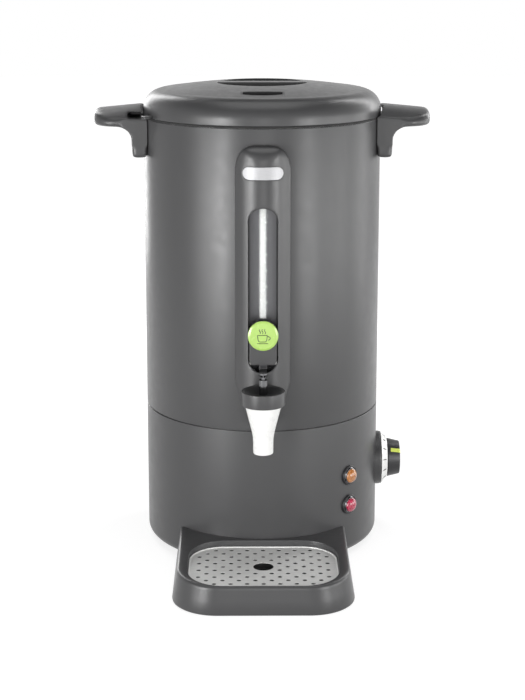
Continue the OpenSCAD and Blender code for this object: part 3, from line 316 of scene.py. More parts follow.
def brushed(name, colour, along, roughness=0.3, metallic=1.0):
    """Metal with fine scratches along one axis."""
    stretch = tuple(0.02 if k == along else 1 for k in range(3))
    s = Surface(name, colour, roughness, metallic)
    s.vary_roughness(s.noise(2400, 3, stretch), roughness - 0.08, roughness + 0.12)
    s.vary_colour(s.noise(1700, 3, stretch), 0.12)
    return s.bump(s.noise(2600, 2, stretch), 0.012, 0.35).material


def polished(name, colour, roughness=0.08):
    s = Surface(name, colour, roughness, 1.0)
    s.vary_roughness(s.noise(60, 4), roughness - 0.03, roughness + 0.06)
    s.vary_colour(s.noise(150, 3), 0.04)
    return s.bump(s.noise(300, 2), 0.008, 0.2).material


def clear(name, colour, roughness=0.03, ior=1.2, alpha=0.14):
    s = Surface(name, colour, roughness, Transmission_Weight=1.0, IOR=ior, Alpha=alpha)
    s.vary_roughness(s.noise(70, 3), roughness, roughness + 0.03)
    return s.bump(s.noise(40, 2), 0.02, 0.15).material


def tinted_lens(name, colour, deep):
    """A moulded lens with rings of small prisms inside it."""
    s = Surface(name, colour, 0.12, Transmission_Weight=0.25, IOR=1.5, Coat_Weight=0.6,
                Coat_Roughness=0.05)
    s.vary_colour(s.noise(420, 2), 0.3, deep)
    return s.bump(s.noise(700, 1), 0.15, 0.35).material


MATERIALS = {
    "charcoal_metal": powder_coat("powder coat", CHARCOAL),
    "charcoal_plastic": moulded("charcoal plastic", CHARCOAL_PLASTIC),
    "black_plastic": moulded("black plastic", BLACK, 0.4),
    "white_plastic": glossy_plastic("white plastic", WHITE, 0.28),
    "lime_plastic": glossy_plastic("lime plastic", LIME, 0.25),
    "stainless": brushed("brushed steel", STEEL, 0, 0.42, 0.45),
    # The chrome's colour is darkened: painted reflection of dark surroundings that the white stage lacks.
    "chrome": polished("chrome with painted dark reflection", tone(104, 104, 106), 0.14),
    "badge_silver": brushed("badge", SILVER, 0, 0.45, 0.3),
    "clear_tube": clear("clear tube", tone(246, 250, 250)),
    "rubber": moulded("rubber", tone(30, 30, 30), 0.75, 0.08),
    "silicone": moulded("silicone", tone(214, 214, 208), 0.5, 0.02),
    "amber_lens": tinted_lens("amber lens", tone(226, 154, 84), tone(178, 102, 44)),
    "red_lens": tinted_lens("red lens", tone(226, 64, 102), tone(158, 26, 56)),
    "copper": brushed("copper", tone(206, 132, 92), 2, 0.35),
    "ceramic": moulded("ceramic", tone(226, 222, 208), 0.6, 0.05),
    "aluminium": brushed("cast aluminium", tone(106, 106, 108), 1, 0.5),
}
SLOT_OF = {part["node"]: part["material_slot"] for part in frame["record"]["subparts"]}


# ---------------------------------------------------------------- helpers ----
def arc_corner(before, corner, after, radius, steps):
    """Points of a round corner between two straight runs."""
    a, b = (before - corner).normalized(), (after - corner).normalized()
    half = a.angle(b)/2
    run = min(radius/math.tan(half), (before - corner).length*0.49, (after - corner).length*0.49)
    radius = run*math.tan(half)
    middle = corner + (a + b).normalized()*(radius/math.sin(half))
    start, end = corner + a*run - middle, corner + b*run - middle
    sweep = start.angle_signed(end)
    return [middle + Matrix.Rotation(-sweep*k/steps, 2) @ start for k in range(steps + 1)]


def rounded(points, closed=False, steps=5):
    """A path in the plane with its corners rounded. A point is (a, b) or (a, b, radius)."""
    path = []
    count = len(points)
    for i, p in enumerate(points):
        here = Vector(p[:2])
        if len(p) < 3 or (not closed and i in (0, count - 1)):
            path.append(here)
            continue
        path += arc_corner(Vector(points[i - 1][:2]), here, Vector(points[(i + 1) % count][:2]),
                           p[2], steps)
    return path


def make(name, verts, faces, node=None, slot=None, body=None, smooth=SHARP):
    """Makes a piece from mesh data in the row frame and hangs it on a body."""
    mesh = bpy.data.meshes.new(name)
    mesh.from_pydata([tuple(v) for v in verts], [], faces)
    tidy = bmesh.new()
    tidy.from_mesh(mesh)
    bmesh.ops.remove_doubles(tidy, verts=tidy.verts, dist=1e-7)
    bmesh.ops.recalc_face_normals(tidy, faces=tidy.faces)
    tidy.to_mesh(mesh)
    tidy.free()
    return dress(bpy.data.objects.new(name, mesh), node, slot, body, smooth)


def dress(piece, node=None, slot=None, body=None, smooth=SHARP):
    """Gives a piece its shading, its material and the body that it rides on."""
    if piece.name not in bpy.context.scene.collection.objects:
        bpy.context.scene.collection.objects.link(piece)
    piece.data.shade_smooth()
    piece.data.set_sharp_from_angle(angle=smooth)
    slot = slot or SLOT_OF[node]
    piece.data.materials.clear()
    piece.data.materials.append(MATERIALS[slot])
    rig.ride(piece, body or nodes[node]["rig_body"])
    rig.slot(piece, slot)
    if node:
        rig.replaces(piece, node)
    return piece


def turned(name, profile, axis=Matrix.Identity(4), segments=TURN, **where):
    """A turned piece: a closed or axis-to-axis profile of (radius, height) spun about Z."""
    verts, rings = [], []
    for r, z in profile:
        if r < 1e-7:
            rings.append([len(verts)]*segments)
            verts.append(axis @ Vector((0, 0, z)))
        else:
            rings.append(list(range(len(verts), len(verts) + segments)))
            verts += [axis @ Vector((r*math.cos(math.tau*k/segments),
                                     r*math.sin(math.tau*k/segments), z)) for k in range(segments)]
    faces = []
    closed = profile[0][0] > 1e-7
    for i in range(len(rings) - (0 if closed else 1)):
        a, b = rings[i], rings[(i + 1) % len(rings)]
        for k in range(segments):
            corners = [a[k], a[(k + 1) % segments], b[(k + 1) % segments], b[k]]
            face = list(dict.fromkeys(corners))
            if len(face) > 2:
                faces.append(face)
    return make(name, verts, faces, **where)


def applied(piece):
    """The piece's mesh with its modifiers applied."""
    evaluated = piece.evaluated_get(bpy.context.evaluated_depsgraph_get())
    mesh = bpy.data.meshes.new_from_object(evaluated)
    piece.modifiers.clear()
    old, piece.data = piece.data, mesh
    bpy.data.meshes.remove(old)
    return piece


def moulded_copy(node, voxel, rounds, name=None, **where):
    """A copy of a CAD solid with softly rounded edges, as a moulding has."""
    piece = bpy.data.objects.new(name or node + ".form", nodes[node].data.copy())
    bpy.context.scene.collection.objects.link(piece)
    weld = piece.modifiers.new("weld", "WELD")
    weld.merge_threshold = 1e-6
    remesh = piece.modifiers.new("even faces", "REMESH")
    remesh.mode, remesh.voxel_size = "VOXEL", voxel*MM
    smooth = piece.modifiers.new("soft edges", "SMOOTH")
    smooth.factor, smooth.iterations = 0.5, rounds
    return dress(applied(piece), node, smooth=math.radians(75), **where)


def soften(piece, share, rounds):
    """Rounds a piece further where share(point) is above 0."""
    group = piece.vertex_groups.new(name="softer")
    for v in piece.data.vertices:
        amount = min(max(share(v.co), 0), 1)
        if amount > 0:
            group.add([v.index], amount, "REPLACE")
    smooth = piece.modifiers.new("softer", "SMOOTH")
    smooth.factor, smooth.iterations, smooth.vertex_group = 0.5, rounds, "softer"
    applied(piece)
    piece.data.shade_smooth()
    piece.data.set_sharp_from_angle(angle=math.radians(75))


def keep_side(piece, z, above):
    """Keeps only the part of a piece above or below a height."""
    mesh = bmesh.new()
    mesh.from_mesh(piece.data)
    found = bmesh.ops.bisect_plane(mesh, geom=mesh.verts[:] + mesh.edges[:] + mesh.faces[:],
                                   plane_co=(0, 0, z), plane_no=(0, 0, 1),
                                   clear_inner=above, clear_outer=not above)
    edges = [e for e in found["geom_cut"] if isinstance(e, bmesh.types.BMEdge)]
    bmesh.ops.holes_fill(mesh, edges=edges)
    mesh.to_mesh(piece.data)
    mesh.free()
    piece.data.shade_smooth()
    piece.data.set_sharp_from_angle(angle=math.radians(60))


def soft_box(name, a, b, radius, node=None, slot=None, body=None, turn=0.0):
    """A block between two corners with rounded edges, turned about the urn's axis."""
    verts = [(x, y, z) for x in (a[0], b[0]) for y in (a[1], b[1]) for z in (a[2], b[2])]
    faces = [(0, 1, 3, 2), (4, 6, 7, 5), (0, 4, 5, 1), (2, 3, 7, 6), (0, 2, 6, 4), (1, 5, 7, 3)]
    mesh = bmesh.new()
    corners = [mesh.verts.new(v) for v in verts]
    for face in faces:
        mesh.faces.new([corners[k] for k in face])
    bmesh.ops.bevel(mesh, geom=mesh.edges[:] + mesh.verts[:], offset=radius, segments=3,
                    profile=0.5, affect="EDGES", clamp_overlap=True)
    bmesh.ops.rotate(mesh, verts=mesh.verts, matrix=Matrix.Rotation(turn, 3, "Z"))
    data = bpy.data.meshes.new(name)
    mesh.to_mesh(data)
    mesh.free()
    return dress(bpy.data.objects.new(name, data), node, slot, body, smooth=math.radians(60))


def half_moon(grow, bottom, top):
    """A prism of the steam vent's outline: an arc in front and a straight side behind."""
    back, length, half = -77*MM + grow, 20*MM, 22*MM + grow
    middle, radius = -77*MM + length, 2*length + grow
    reach = math.asin(half/radius)
    outline = [Vector((radius*math.sin(a), middle - radius*math.cos(a)))
               for a in (reach*(k/12 - 1) for k in range(25))]
    outline += [Vector((half, back)), Vector((-half, back))]
    n = len(outline)
    verts = [(p.x, p.y, z) for z in (bottom, top) for p in outline]
    faces = [(k, (k + 1) % n, n + (k + 1) % n, n + k) for k in range(n)]
    mesh = bpy.data.meshes.new("cutter")
    mesh.from_pydata(verts, [], faces + [list(range(n))[::-1], list(range(n, 2*n))])
    return mesh


def cut(piece, cutter_mesh):
    """Cuts a mesh out of a piece."""
    cutter = bpy.data.objects.new("cutter", cutter_mesh)
    bpy.context.scene.collection.objects.link(cutter)
    boolean = piece.modifiers.new("cut", "BOOLEAN")
    boolean.operation, boolean.solver, boolean.object = "DIFFERENCE", "EXACT", cutter
    applied(piece)
    bpy.data.objects.remove(cutter)
    bpy.data.meshes.remove(cutter_mesh)
    return piece


def pointing(direction, place):
    """A matrix that turns +Z to a direction and moves to a place."""
    turn = Vector(direction).to_track_quat("Z", "Y").to_matrix().to_4x4()
    return Matrix.Translation(place) @ turn


# ------------------------------------------------------------------- body ----
def make_shell():
    """The painted sheet and the black seal that shows in the seam below the lid."""
    inner = BODY_R - 1.2*MM
    turned("shell.sheet", rounded([(inner, SHELL_LOW), (BODY_R, SHELL_LOW, 0.5*MM),
                                   (BODY_R, SHELL_TOP, 0.8*MM), (inner, SHELL_TOP)], True),
           node="upper_shell")
    edge = high("inner_tank").x
    low_z, high_z = SHELL_TOP + 0.05*MM, SHELL_TOP + 2.25*MM
    turned("rim.seal", rounded([(edge - 2*MM, low_z), (edge + 0.45*MM, low_z, 0.3*MM),
                                (edge + 0.45*MM, high_z, 0.4*MM), (edge - 2*MM, high_z)], True),
           slot="rubber", body="urn")


def make_housing():
    """The base with its round foot edge, and the neck that the sheet sits on."""
    wall, lip = 2.5*MM, 34*MM
    foot, spigot = FOOT_H, high("base_housing").z
    neck = BODY_R - 1.5*MM
    step = SEAM_LOW - 6*MM
    profile = rounded([
        (BODY_R - lip, foot), (BODY_R, foot, BASE_FILLET), (BODY_R, SEAM_LOW, 0.9*MM),
        (neck, SEAM_LOW), (neck, spigot, 0.4*MM), (neck - 2*MM, spigot, 0.4*MM),
        (neck - 2*MM, step), (BODY_R - wall, step),
        (BODY_R - wall, foot + wall, BASE_FILLET - wall),
        (BODY_R - lip, foot + wall)], True, 10)
    turned("housing.form", profile, node="base_housing")


def make_lid():
    """The crowned lid with its grip recess and bar, its steam vent and its two lugs."""
    grip_r, recess = 47.25*MM, 28*MM
    bend = 20*MM                        # radius of the shoulder
    crown_edge, shoulder = LID_LOW + 26.5*MM, LID_R - bend
    rise = 8.6*MM                       # of the crown, from the shoulder to the middle
    crown_r = (shoulder**2 + rise**2)/(2*rise)
    top = crown_edge + rise

    def crown(r):
        return top - crown_r + math.sqrt(crown_r**2 - r*r)

    rim = crown(grip_r)
    floor = rim - recess
    wall, edge, steps = 2.5*MM, 1.4*MM, 12
    outer = [(0, floor), (grip_r, floor, 4*MM), (grip_r, rim, 1.2*MM)]
    for k in range(steps + 1):
        r = grip_r + edge + (shoulder - grip_r - edge)*k/steps
        outer.append((r, crown(r)))
    for degrees in range(5, 91, 5):
        a = math.radians(degrees)
        outer.append((shoulder + bend*math.sin(a), crown_edge - bend + bend*math.cos(a)))
    low_edge = [(LID_R, LID_LOW, 0.8*MM), (LID_R - wall, LID_LOW, 0.5*MM)]
    inside = [(LID_R - wall, crown_edge - bend), (shoulder, crown_edge - wall, 14*MM),
              (grip_r + wall, rim - wall - 1*MM), (grip_r + wall, floor - wall),
              (0, floor - wall)]
    lid = turned("lid.form", rounded(outer + low_edge + inside), segments=256,
                 node="lid_shell", smooth=math.radians(30))
    cut(lid, half_moon(0.2*MM, LID_LOW, LID_TOP + 20*MM))
    bar_top, half, reach = rim + 0.6*MM, 9*MM, grip_r + 1*MM
    soft_box("lid.bar", (-reach, -half, bar_top - 9*MM), (reach, half, bar_top), 1.6*MM,
             node="lid_shell")
    for side, turn in (("right", 0), ("left", math.pi)):
        soft_box("lid.lug." + side, (LID_R - 1.5*MM, -5.5*MM, LID_LOW),
                 (LID_R + 9*MM, 5.5*MM, LID_LOW + 3*MM), 1*MM, node="lid_shell",
                 turn=turn + math.radians(24.5))


# ------------------------------------------------------------- tap pieces ----
def make_button():
    """A slightly domed cap with a pale rim, and the ribbed ring behind it, made black as painted shade."""
    depth, radius = 4*MM, 15.45*MM
    back = pointing((0, -1, 0), Vector((0, BUTTON.y + depth, BUTTON.z)))
    split = 1.6*MM                      # height of the ribbed ring
    turned("button.cap", rounded([
        (0, split), (radius - 0.3*MM, split), (radius, split + 0.5*MM, 0.4*MM),
        (radius - 0.2*MM, depth - 0.9*MM, 0.6*MM), (radius - 2.4*MM, depth, 1.2*MM), (0, depth)]),
        back, 96, node="button_cap", slot="lime_plastic")
    # The ribs are drawn; their black is painted shade of the recess behind the button.
    ribs, verts, faces = 44, [], []
    for level in (0, split):
        for k in range(4*ribs):
            r = radius - (0.9 if k % 4 in (0, 1) else 0.1)*MM
            a = math.tau*k/(4*ribs)
            verts.append(back @ Vector((r*math.cos(a), r*math.sin(a), level)))
    n = 4*ribs
    faces = [(k, (k + 1) % n, n + (k + 1) % n, n + k) for k in range(n)]
    faces += [list(range(n)), list(range(n, 2*n))]
    make("button.ribs", verts, faces, slot="black_plastic", body="lever")


def tubes(name, paths, radius, sides=8, **where):
    """Round lines along paths of points, joined in one piece."""
    verts, faces = [], []
    for path in paths:
        closed = (path[0] - path[-1]).length < 1e-7
        points = path[:-1] if closed else path
        start, count = len(verts), len(points)
        for i, p in enumerate(points):
            before = points[i - 1] if i or closed else p
            after = points[(i + 1) % count] if i < count - 1 or closed else p
            along = (after - before).normalized()
            side = along.cross(Vector((0.05, 1, 0.02))).normalized()
            up = side.cross(along)
            verts += [p + radius*(side*math.cos(math.tau*k/sides) + up*math.sin(math.tau*k/sides))
                      for k in range(sides)]
        for i in range(count if closed else count - 1):
            for k in range(sides):
                m, j = (k + 1) % sides, (i + 1) % count
                faces.append((start + i*sides + k, start + i*sides + m, start + j*sides + m,
                              start + j*sides + k))
        if not closed:
            faces.append([start + k for k in range(sides)])
            faces.append([start + (count - 1)*sides + k for k in range(sides)])
    return make(name, verts, faces, **where)


def make_icon():
    """A cup drawn in thin lines, with a handle, a saucer and three wisps of steam."""
    size, lower = 1.35, 0.6

    def on_cap(points):
        return [Vector((size*x*MM, BUTTON.y + 0.02*MM, BUTTON.z + (size*z - lower)*MM))
                for x, z in points]

    bowl = rounded([(-4.2, 1.2), (-3.5, -3.9, 1.6), (2.5, -3.9, 1.6), (3.2, 1.2)], steps=6)
    handle = [(3.1 + 2.3*math.sin(math.radians(a)), -1.1 + 1.5*math.cos(math.radians(a)))
              for a in range(10, 161, 15)]
    wisps = [[(x + 0.45*math.sin(t*0.9), 2.3 + 0.5*t) for t in range(8)] for x in (-2.4, -0.5, 1.4)]
    lines = [bowl, [(-4.2, 1.2), (3.2, 1.2)], [(-4.6, -5.2), (3.8, -5.2)], handle] + wisps
    tubes("button.icon", [on_cap(line) for line in lines], 0.34*MM, node="button_icon")


def make_backing():
    """A grey curved plate that lines the back of the window, behind the sight tube, as painted light: its metal
    brightens the shaded recess.
    """
    reach, r = math.radians(6.2), BODY_R + 0.14*MM
    low_z, high_z = 262*MM, 404*MM
    verts = [(radius*math.sin(reach*(k/8 - 1)), -radius*math.cos(reach*(k/8 - 1)), z)
             for z in (low_z, high_z) for radius in (r, r + 0.12*MM) for k in range(17)]
    faces = []
    for k in range(16):
        faces += [(k, k + 1, 34 + k + 1, 34 + k), (17 + k + 1, 17 + k, 51 + k, 51 + k + 1),
                  (k + 1, k, 17 + k, 17 + k + 1), (34 + k, 34 + k + 1, 51 + k + 1, 51 + k)]
    faces += [(0, 34, 51, 17), (16, 33, 67, 50)]
    # The plate's bright reflection is painted light in the window's recess.
    make("window.backing", verts, faces, slot="aluminium", body="urn")


def make_strip():
    """The white strip behind the sight tube."""
    a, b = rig.box("gauge_strip")
    soft_box("gauge.strip", (-3.3*MM, a.y, a.z), (3.3*MM, b.y, b.z), 0.25*MM, node="gauge_strip")


def make_collar():
    """The round collar that holds the spout; the hollow in its top is lined black, as painted shade."""
    a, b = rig.box("tap_collar")
    radius, bore = (b.x - a.x)/2, 4.25*MM
    at = Matrix.Translation(Vector((0, TAP_Y, 0)))
    profile = rounded([(bore, b.z - 4.4*MM, 0.5*MM), (radius - 8*MM, b.z - 4*MM, 3*MM),
                       (radius - 1.5*MM, b.z, 0.7*MM), (radius, b.z, 0.7*MM), (radius, a.z, 0.8*MM),
                       (18.6*MM, a.z, 0.3*MM), (18.6*MM, a.z + 4*MM), (bore, a.z + 4*MM)], True, 6)
    turned("tap.collar", profile, at, 128, node="tap_collar")
    # A black lining in the collar's hollow top: painted shade.
    shade_dish = rounded([(bore, b.z - 4.5*MM), (bore, b.z - 4.25*MM),
                    (radius - 8.2*MM, b.z - 3.8*MM, 3*MM), (radius - 2*MM, b.z - 0.4*MM),
                    (radius - 2.2*MM, b.z - 0.8*MM)], True, 6)
    turned("tap.collar.dish", shade_dish, at, 128, slot="black_plastic", body="urn")


def make_spring(node, body, along):
    """A coil spring's copy, held at its high end, that shortens as its low end moves."""
    piece = bpy.data.objects.new(node + ".coil", nodes[node].data.copy())
    bpy.context.scene.collection.objects.link(piece)
    piece.data.materials.clear()
    piece.data.materials.append(MATERIALS[SLOT_OF[node]])
    fixed, moving = centre(node), centre(node)
    fixed[along], moving[along] = high(node)[along], low(node)[along]
    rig.slot(piece, SLOT_OF[node])
    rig.replaces(piece, node)
    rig.blend(piece, "urn", body, start=fixed, end=moving)


def make_spout():
    """The white spout: a straight end that widens softly to a rim inside the collar."""
    bottom, cone, rim_low, top = low("spout").z, 160*MM, 192*MM, 196*MM
    bore, end, rim, wall = 7*MM, 10.3*MM, 18.5*MM, 2.2*MM
    at = Matrix.Translation(Vector((0, TAP_Y, 0)))
    profile = rounded([
        (bore, bottom, 0.5*MM), (end - 0.1*MM, bottom, 1.6*MM), (end, cone - 1*MM, 60*MM),
        (rim, rim_low), (rim, top, 0.4*MM), (rim - wall, top, 0.4*MM), (rim - wall, rim_low),
        (end - 0.6*MM, cone + 5.5*MM), (bore + 1.5*MM, cone + 4*MM), (bore, cone + 2*MM)], True, 8)
    turned("spout.form", profile, at, 128, node="spout")


def make_knob():
    """Tapered grip with a soft front edge, and the stepped conical dial behind it."""
    a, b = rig.box("knob_grip")
    foot, face, length = (b.z - a.z)/2, GRIP_FACE_R, b.x - a.x
    turned("knob.grip", rounded([(0, 0), (foot - 0.4*MM, 0, 0.3*MM), (foot, 0.8*MM, 0.5*MM),
                                 (face, length, 1.1*MM), (face - 4.5*MM, length, 0.8*MM),
                                 (face - 5.3*MM, length - 0.5*MM, 0.6*MM), (0, length - 0.5*MM)]),
           pointing((1, 0, 0), Vector((a.x, 0, KNOB_Z))), 128, node="knob_grip")
    c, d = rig.box("dial_ring")
    wide, narrow, deep, bore = (d.z - c.z)/2, 22*MM, d.x - c.x, 8.5*MM
    middle = (wide + narrow)/2
    turned("dial.ring", rounded([
        (bore, 0), (wide, 0, 0.3*MM), (wide, 0.6*MM, 0.3*MM),
        (middle + 0.3*MM, deep/2 - 0.2*MM, 0.2*MM), (middle - 0.3*MM, deep/2 - 0.35*MM, 0.2*MM),
        (middle - 0.5*MM, deep/2 + 0.1*MM, 0.2*MM), (narrow, deep, 0.3*MM), (bore, deep)], True),
        pointing((1, 0, 0), Vector((c.x, 0, KNOB_Z))), 160, node="dial_ring")
    e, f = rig.box("knob_skirt")
    edge = (f.z - e.z)/2
    root = BODY_R - 6*MM
    turned("dial.skirt", rounded([(bore, 0), (edge, 0), (edge - 0.4*MM, f.x - root, 1.6*MM),
                                  (bore, f.x - root)], True),
           pointing((1, 0, 0), Vector((root, 0, KNOB_Z))), 160, node="knob_skirt")


def make_pointer():
    """A lime bar let into the grip's side and running over its front edge."""
    turn = Matrix.Rotation(math.radians(50), 4, "X")
    a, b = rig.box("knob_grip")
    foot, face, length = (b.z - a.z)/2, GRIP_FACE_R, b.x - a.x
    line = [Vector((a.x + 3.6*MM, 0, foot + 0.25*MM - (foot - face)*3.6*MM/length)),
            Vector((b.x - 0.6*MM, 0, face + 0.3*MM)), Vector((b.x + 0.25*MM, 0, face - 0.6*MM)),
            Vector((b.x + 0.25*MM, 0, face - 4.2*MM))]
    half, verts = 2.2*MM, []
    for p in line:
        verts += [(p.x, -half, p.z), (p.x, half, p.z)]
    verts += [(line[-1].x - 1.4*MM, -half, line[-1].z), (line[-1].x - 1.4*MM, half, line[-1].z),
              (line[0].x, -half, line[0].z - 1.4*MM), (line[0].x, half, line[0].z - 1.4*MM)]
    n = len(verts)//2
    faces = [(2*k, 2*k + 1, 2*((k + 1) % n) + 1, 2*((k + 1) % n)) for k in range(n)]
    faces += [[2*k for k in range(n)], [2*k + 1 for k in range(n)]]
    place = Matrix.Translation(Vector((0, 0, KNOB_Z))) @ turn
    pointer = make("knob.pointer", [place @ Vector(v) for v in verts], faces, node="knob_pointer",
                   smooth=math.radians(30))
    pointer.data.materials[0] = glossy_plastic("pointer lime", POINTER_LIME, 0.25)


def make_lights():
    """Each light: a black gasket, a bright collar and a domed lens."""
    angle = math.radians(46.5)
    out = (math.sin(angle), -math.cos(angle), 0)
    for colour in ("amber", "red"):
        at = pointing(out, Vector((*(BODY_R*Vector(out)).xy, centre("lens_" + colour).z)))
        turned(colour + ".gasket", rounded([
            (8*MM, -2*MM), (10.7*MM, -2*MM), (10.7*MM, 1.6*MM, 0.8*MM), (9.9*MM, 2.6*MM, 0.5*MM),
            (9.3*MM, 2.4*MM, 0.3*MM), (8.6*MM, 1*MM)], True), at, 96,
            slot="black_plastic", body="urn")
        turned(colour + ".collar", rounded([
            (7.2*MM, -2*MM), (9.3*MM, -2*MM), (9.3*MM, 1.9*MM, 0.3*MM), (8.1*MM, 3.6*MM, 0.5*MM),
            (7.2*MM, 3.4*MM)], True), at, 96, node="lamp_bezels")
        dome = [(8.2*MM*math.sin(math.radians(a)), 8*MM - 6.6*MM*(1 - math.cos(math.radians(a))))
                for a in range(0, 65, 4)]
        turned(colour + ".lens", dome + [(7.4*MM, 3.3*MM), (7*MM, -2*MM), (0, -2*MM)], at, 96,
               node="lens_" + colour)


# ------------------------------------------------------------------- tray ----
def spread(points, count):
    """A path resampled to a number of points, evenly along its length."""
    lengths = [0.0]
    for a, b in zip(points, points[1:]):
        lengths.append(lengths[-1] + (b - a).length)
    out, k = [], 0
    for i in range(count):
        want = lengths[-1]*i/(count - 1)
        while k < len(points) - 2 and lengths[k + 1] < want:
            k += 1
        share = (want - lengths[k])/max(lengths[k + 1] - lengths[k], 1e-9)
        out.append(points[k].lerp(points[k + 1], min(max(share, 0), 1)))
    return out


def arc(middle, radius, start, end, steps=16):
    """Points of an arc in the plane, angles in degrees."""
    return [Vector((middle[0] + radius*math.cos(math.radians(start + (end - start)*k/steps)),
                    middle[1] + radius*math.sin(math.radians(start + (end - start)*k/steps))))
            for k in range(steps + 1)]


def tray_loop(half, front, corner, back):
    """Outline of the tray from its left back corner round the front, and along its back."""
    y = -front + corner
    left = spread([Vector((-half, back[0].y)), Vector((-half, y))], 10)
    turn_left = arc((-half + corner, y), corner, 180, 270)
    middle = spread([Vector((-half + corner, -front)), Vector((half - corner, -front))], 12)
    turn_right = arc((half - corner, y), corner, 270, 360)
    right = spread([Vector((half, y)), Vector((half, back[0].y))], 10)
    return (left[:-1] + turn_left[:-1] + middle[:-1] + turn_right[:-1] + right[:-1]
            + spread(back, 49)[:-1])


def shell_back(half):
    """The tray's back edge, which follows the shell, from right to left."""
    gap_r = BODY_R + 0.5*MM
    edge = math.degrees(math.asin(half/gap_r))
    return arc((0, 0), gap_r, -90 + edge, -90 - edge, 48)


def make_tray():
    """The tray, lofted from rings: up its leaning outside, over its rim and into its well."""
    half, front, corner = 92*MM, 246*MM, 45*MM
    rim_front, rim_back = 28.5*MM, 34.5*MM
    lean = 5.5*MM
    seat, floor = low("drip_grille").z, 3*MM
    pocket_half, pocket_front, pocket_back = 76.3*MM, 238.1*MM, 130.4*MM
    pocket_corner = 36.6*MM

    def rim(point, drop=0.0):
        share = (front + point.y)/(front - BODY_R)
        return rim_front + (rim_back - rim_front)*share - drop

    def outer(inset, height):
        loop = tray_loop(half - inset, front - inset, corner, shell_back(half - inset))
        return [Vector((p.x, p.y, height(p) if callable(height) else height)) for p in loop]

    def inner(grow, height):
        h, f, b = pocket_half + grow, pocket_front + grow, pocket_back - grow
        r = pocket_corner + grow
        back = ([Vector((h, -b - r))] + arc((h - r, -b - r), r, 0, 90)
                + arc((-h + r, -b - r), r, 90, 180))
        loop = tray_loop(h, f, r, back)
        return [Vector((p.x, p.y, height(p) if callable(height) else height)) for p in loop]

    rings = [outer(2.4*MM, 0.0), outer(1.2*MM, 0.35*MM), outer(0.4*MM, 1.2*MM),
             outer(0.2*MM, 2.6*MM), outer(lean*0.55, lambda p: rim(p, 14*MM)),
             outer(lean*0.8, lambda p: rim(p, 4*MM)), outer(lean*0.86, lambda p: rim(p, 2.4*MM)),
             outer(lean*0.96, lambda p: rim(p, 1*MM)),
             outer(lean + 0.7*MM, lambda p: rim(p, 0.25*MM)), outer(lean + 1.7*MM, rim),
             inner(0.5*MM, rim), inner(0.1*MM, lambda p: rim(p, 0.15*MM)),
             inner(0.0, lambda p: rim(p, 0.6*MM)), inner(0.0, seat),
             inner(-3.4*MM, seat), inner(-3.8*MM, seat - 0.4*MM), inner(-4.6*MM, floor + 3*MM),
             inner(-5.6*MM, floor + 0.8*MM), inner(-7.6*MM, floor)]
    count = len(rings[0])
    verts = [p for ring in rings for p in ring]
    faces = []
    for i in range(len(rings) - 1):
        for k in range(count):
            m = (k + 1) % count
            faces.append((i*count + k, i*count + m, (i + 1)*count + m, (i + 1)*count + k))
    under, well = len(verts), len(verts) + 1
    verts += [Vector((0, -190*MM, 0)), Vector((0, -190*MM, floor))]
    last = (len(rings) - 1)*count
    for k in range(count):
        m = (k + 1) % count
        faces += [(m, k, under), (last + k, last + m, well)]
    make("tray.form", verts, faces, node="drip_tray", smooth=math.radians(50))


def make_grille():
    """The perforated sheet, thin at its holes, and its rolled edge."""
    a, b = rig.box("drip_grille")
    sheet = bpy.data.objects.new("grille.sheet", nodes["drip_grille"].data.copy())
    for v in sheet.data.vertices:
        across, back = abs(v.co.x), min(v.co.y - a.y, b.y - v.co.y)
        corner = math.hypot(max(across - (b.x - 36*MM), 0), max(36*MM - back, 0))
        if v.co.z < b.z - 0.6*MM and across < b.x - 1*MM and back > 1*MM and corner < 35*MM:
            v.co.z = b.z - 0.4*MM
    dress(sheet, "drip_grille")
    r = 36*MM
    outline = (arc((a.x + r, a.y + r), r, 180, 270) + arc((b.x - r, a.y + r), r, 270, 360)
               + arc((b.x - r, b.y - r), r, 0, 90) + arc((a.x + r, b.y - r), r, 90, 180))
    path = [Vector((p.x*0.994, p.y, b.z + 0.1*MM)) for p in outline]
    tubes("grille.rim", [path + [path[0].copy()]], 0.75*MM, 10, slot="stainless", body="grille")


def make_handles_column_and_lever():
    """Softly rounded copies of the large mouldings, rounder still at their ends."""
    grip_x, leg_z = 146*MM, 438*MM      # the handles are roundest outside and below these

    def handle_share(p):
        return max((abs(p.x) - grip_x)/(4*MM), (leg_z - p.z)/(3*MM))

    for node in ("handle_left", "handle_right"):
        soften(moulded_copy(node, 1.0, 10), handle_share, 140)
    soften(moulded_copy("tap_column", 1.0, 6), lambda p: (p.z - DOME_FOOT)/(3*MM), 160)
    keep_side(moulded_copy("push_lever", 0.5, 3), LEVER_SPLIT, True)
    # The arm below LEVER_SPLIT is black: painted shade under the lever's face.
    keep_side(moulded_copy("push_lever", 0.5, 3, "push_lever.arm", slot="black_plastic"),
              LEVER_SPLIT, False)


make_shell()
make_housing()
make_lid()
make_button()
make_icon()
make_backing()
make_strip()
make_collar()
make_spring("valve_spring", "stem", 2)
make_spring("lever_spring", "lever", 1)
make_spout()
make_knob()
make_pointer()
make_lights()
make_tray()
make_grille()
make_handles_column_and_lever()

for name, node in nodes.items():
    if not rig.alive(node):
        continue
    node.data.materials.clear()
    node.data.materials.append(MATERIALS[SLOT_OF[name]])


# ------------------------------------------------------------------ stage ----
def sees_background(tree):
    """1 for the rays that show the background: from the camera, a mirror or through glass."""
    path = tree.nodes.new("ShaderNodeLightPath")
    value = path.outputs["Is Camera Ray"]
    for kind in ("Is Glossy Ray", "Is Transmission Ray"):
        most = tree.nodes.new("ShaderNodeMath")
        most.operation = "MAXIMUM"
        tree.links.new(value, most.inputs[0])
        tree.links.new(path.outputs[kind], most.inputs[1])
        value = most.outputs[0]
    return value


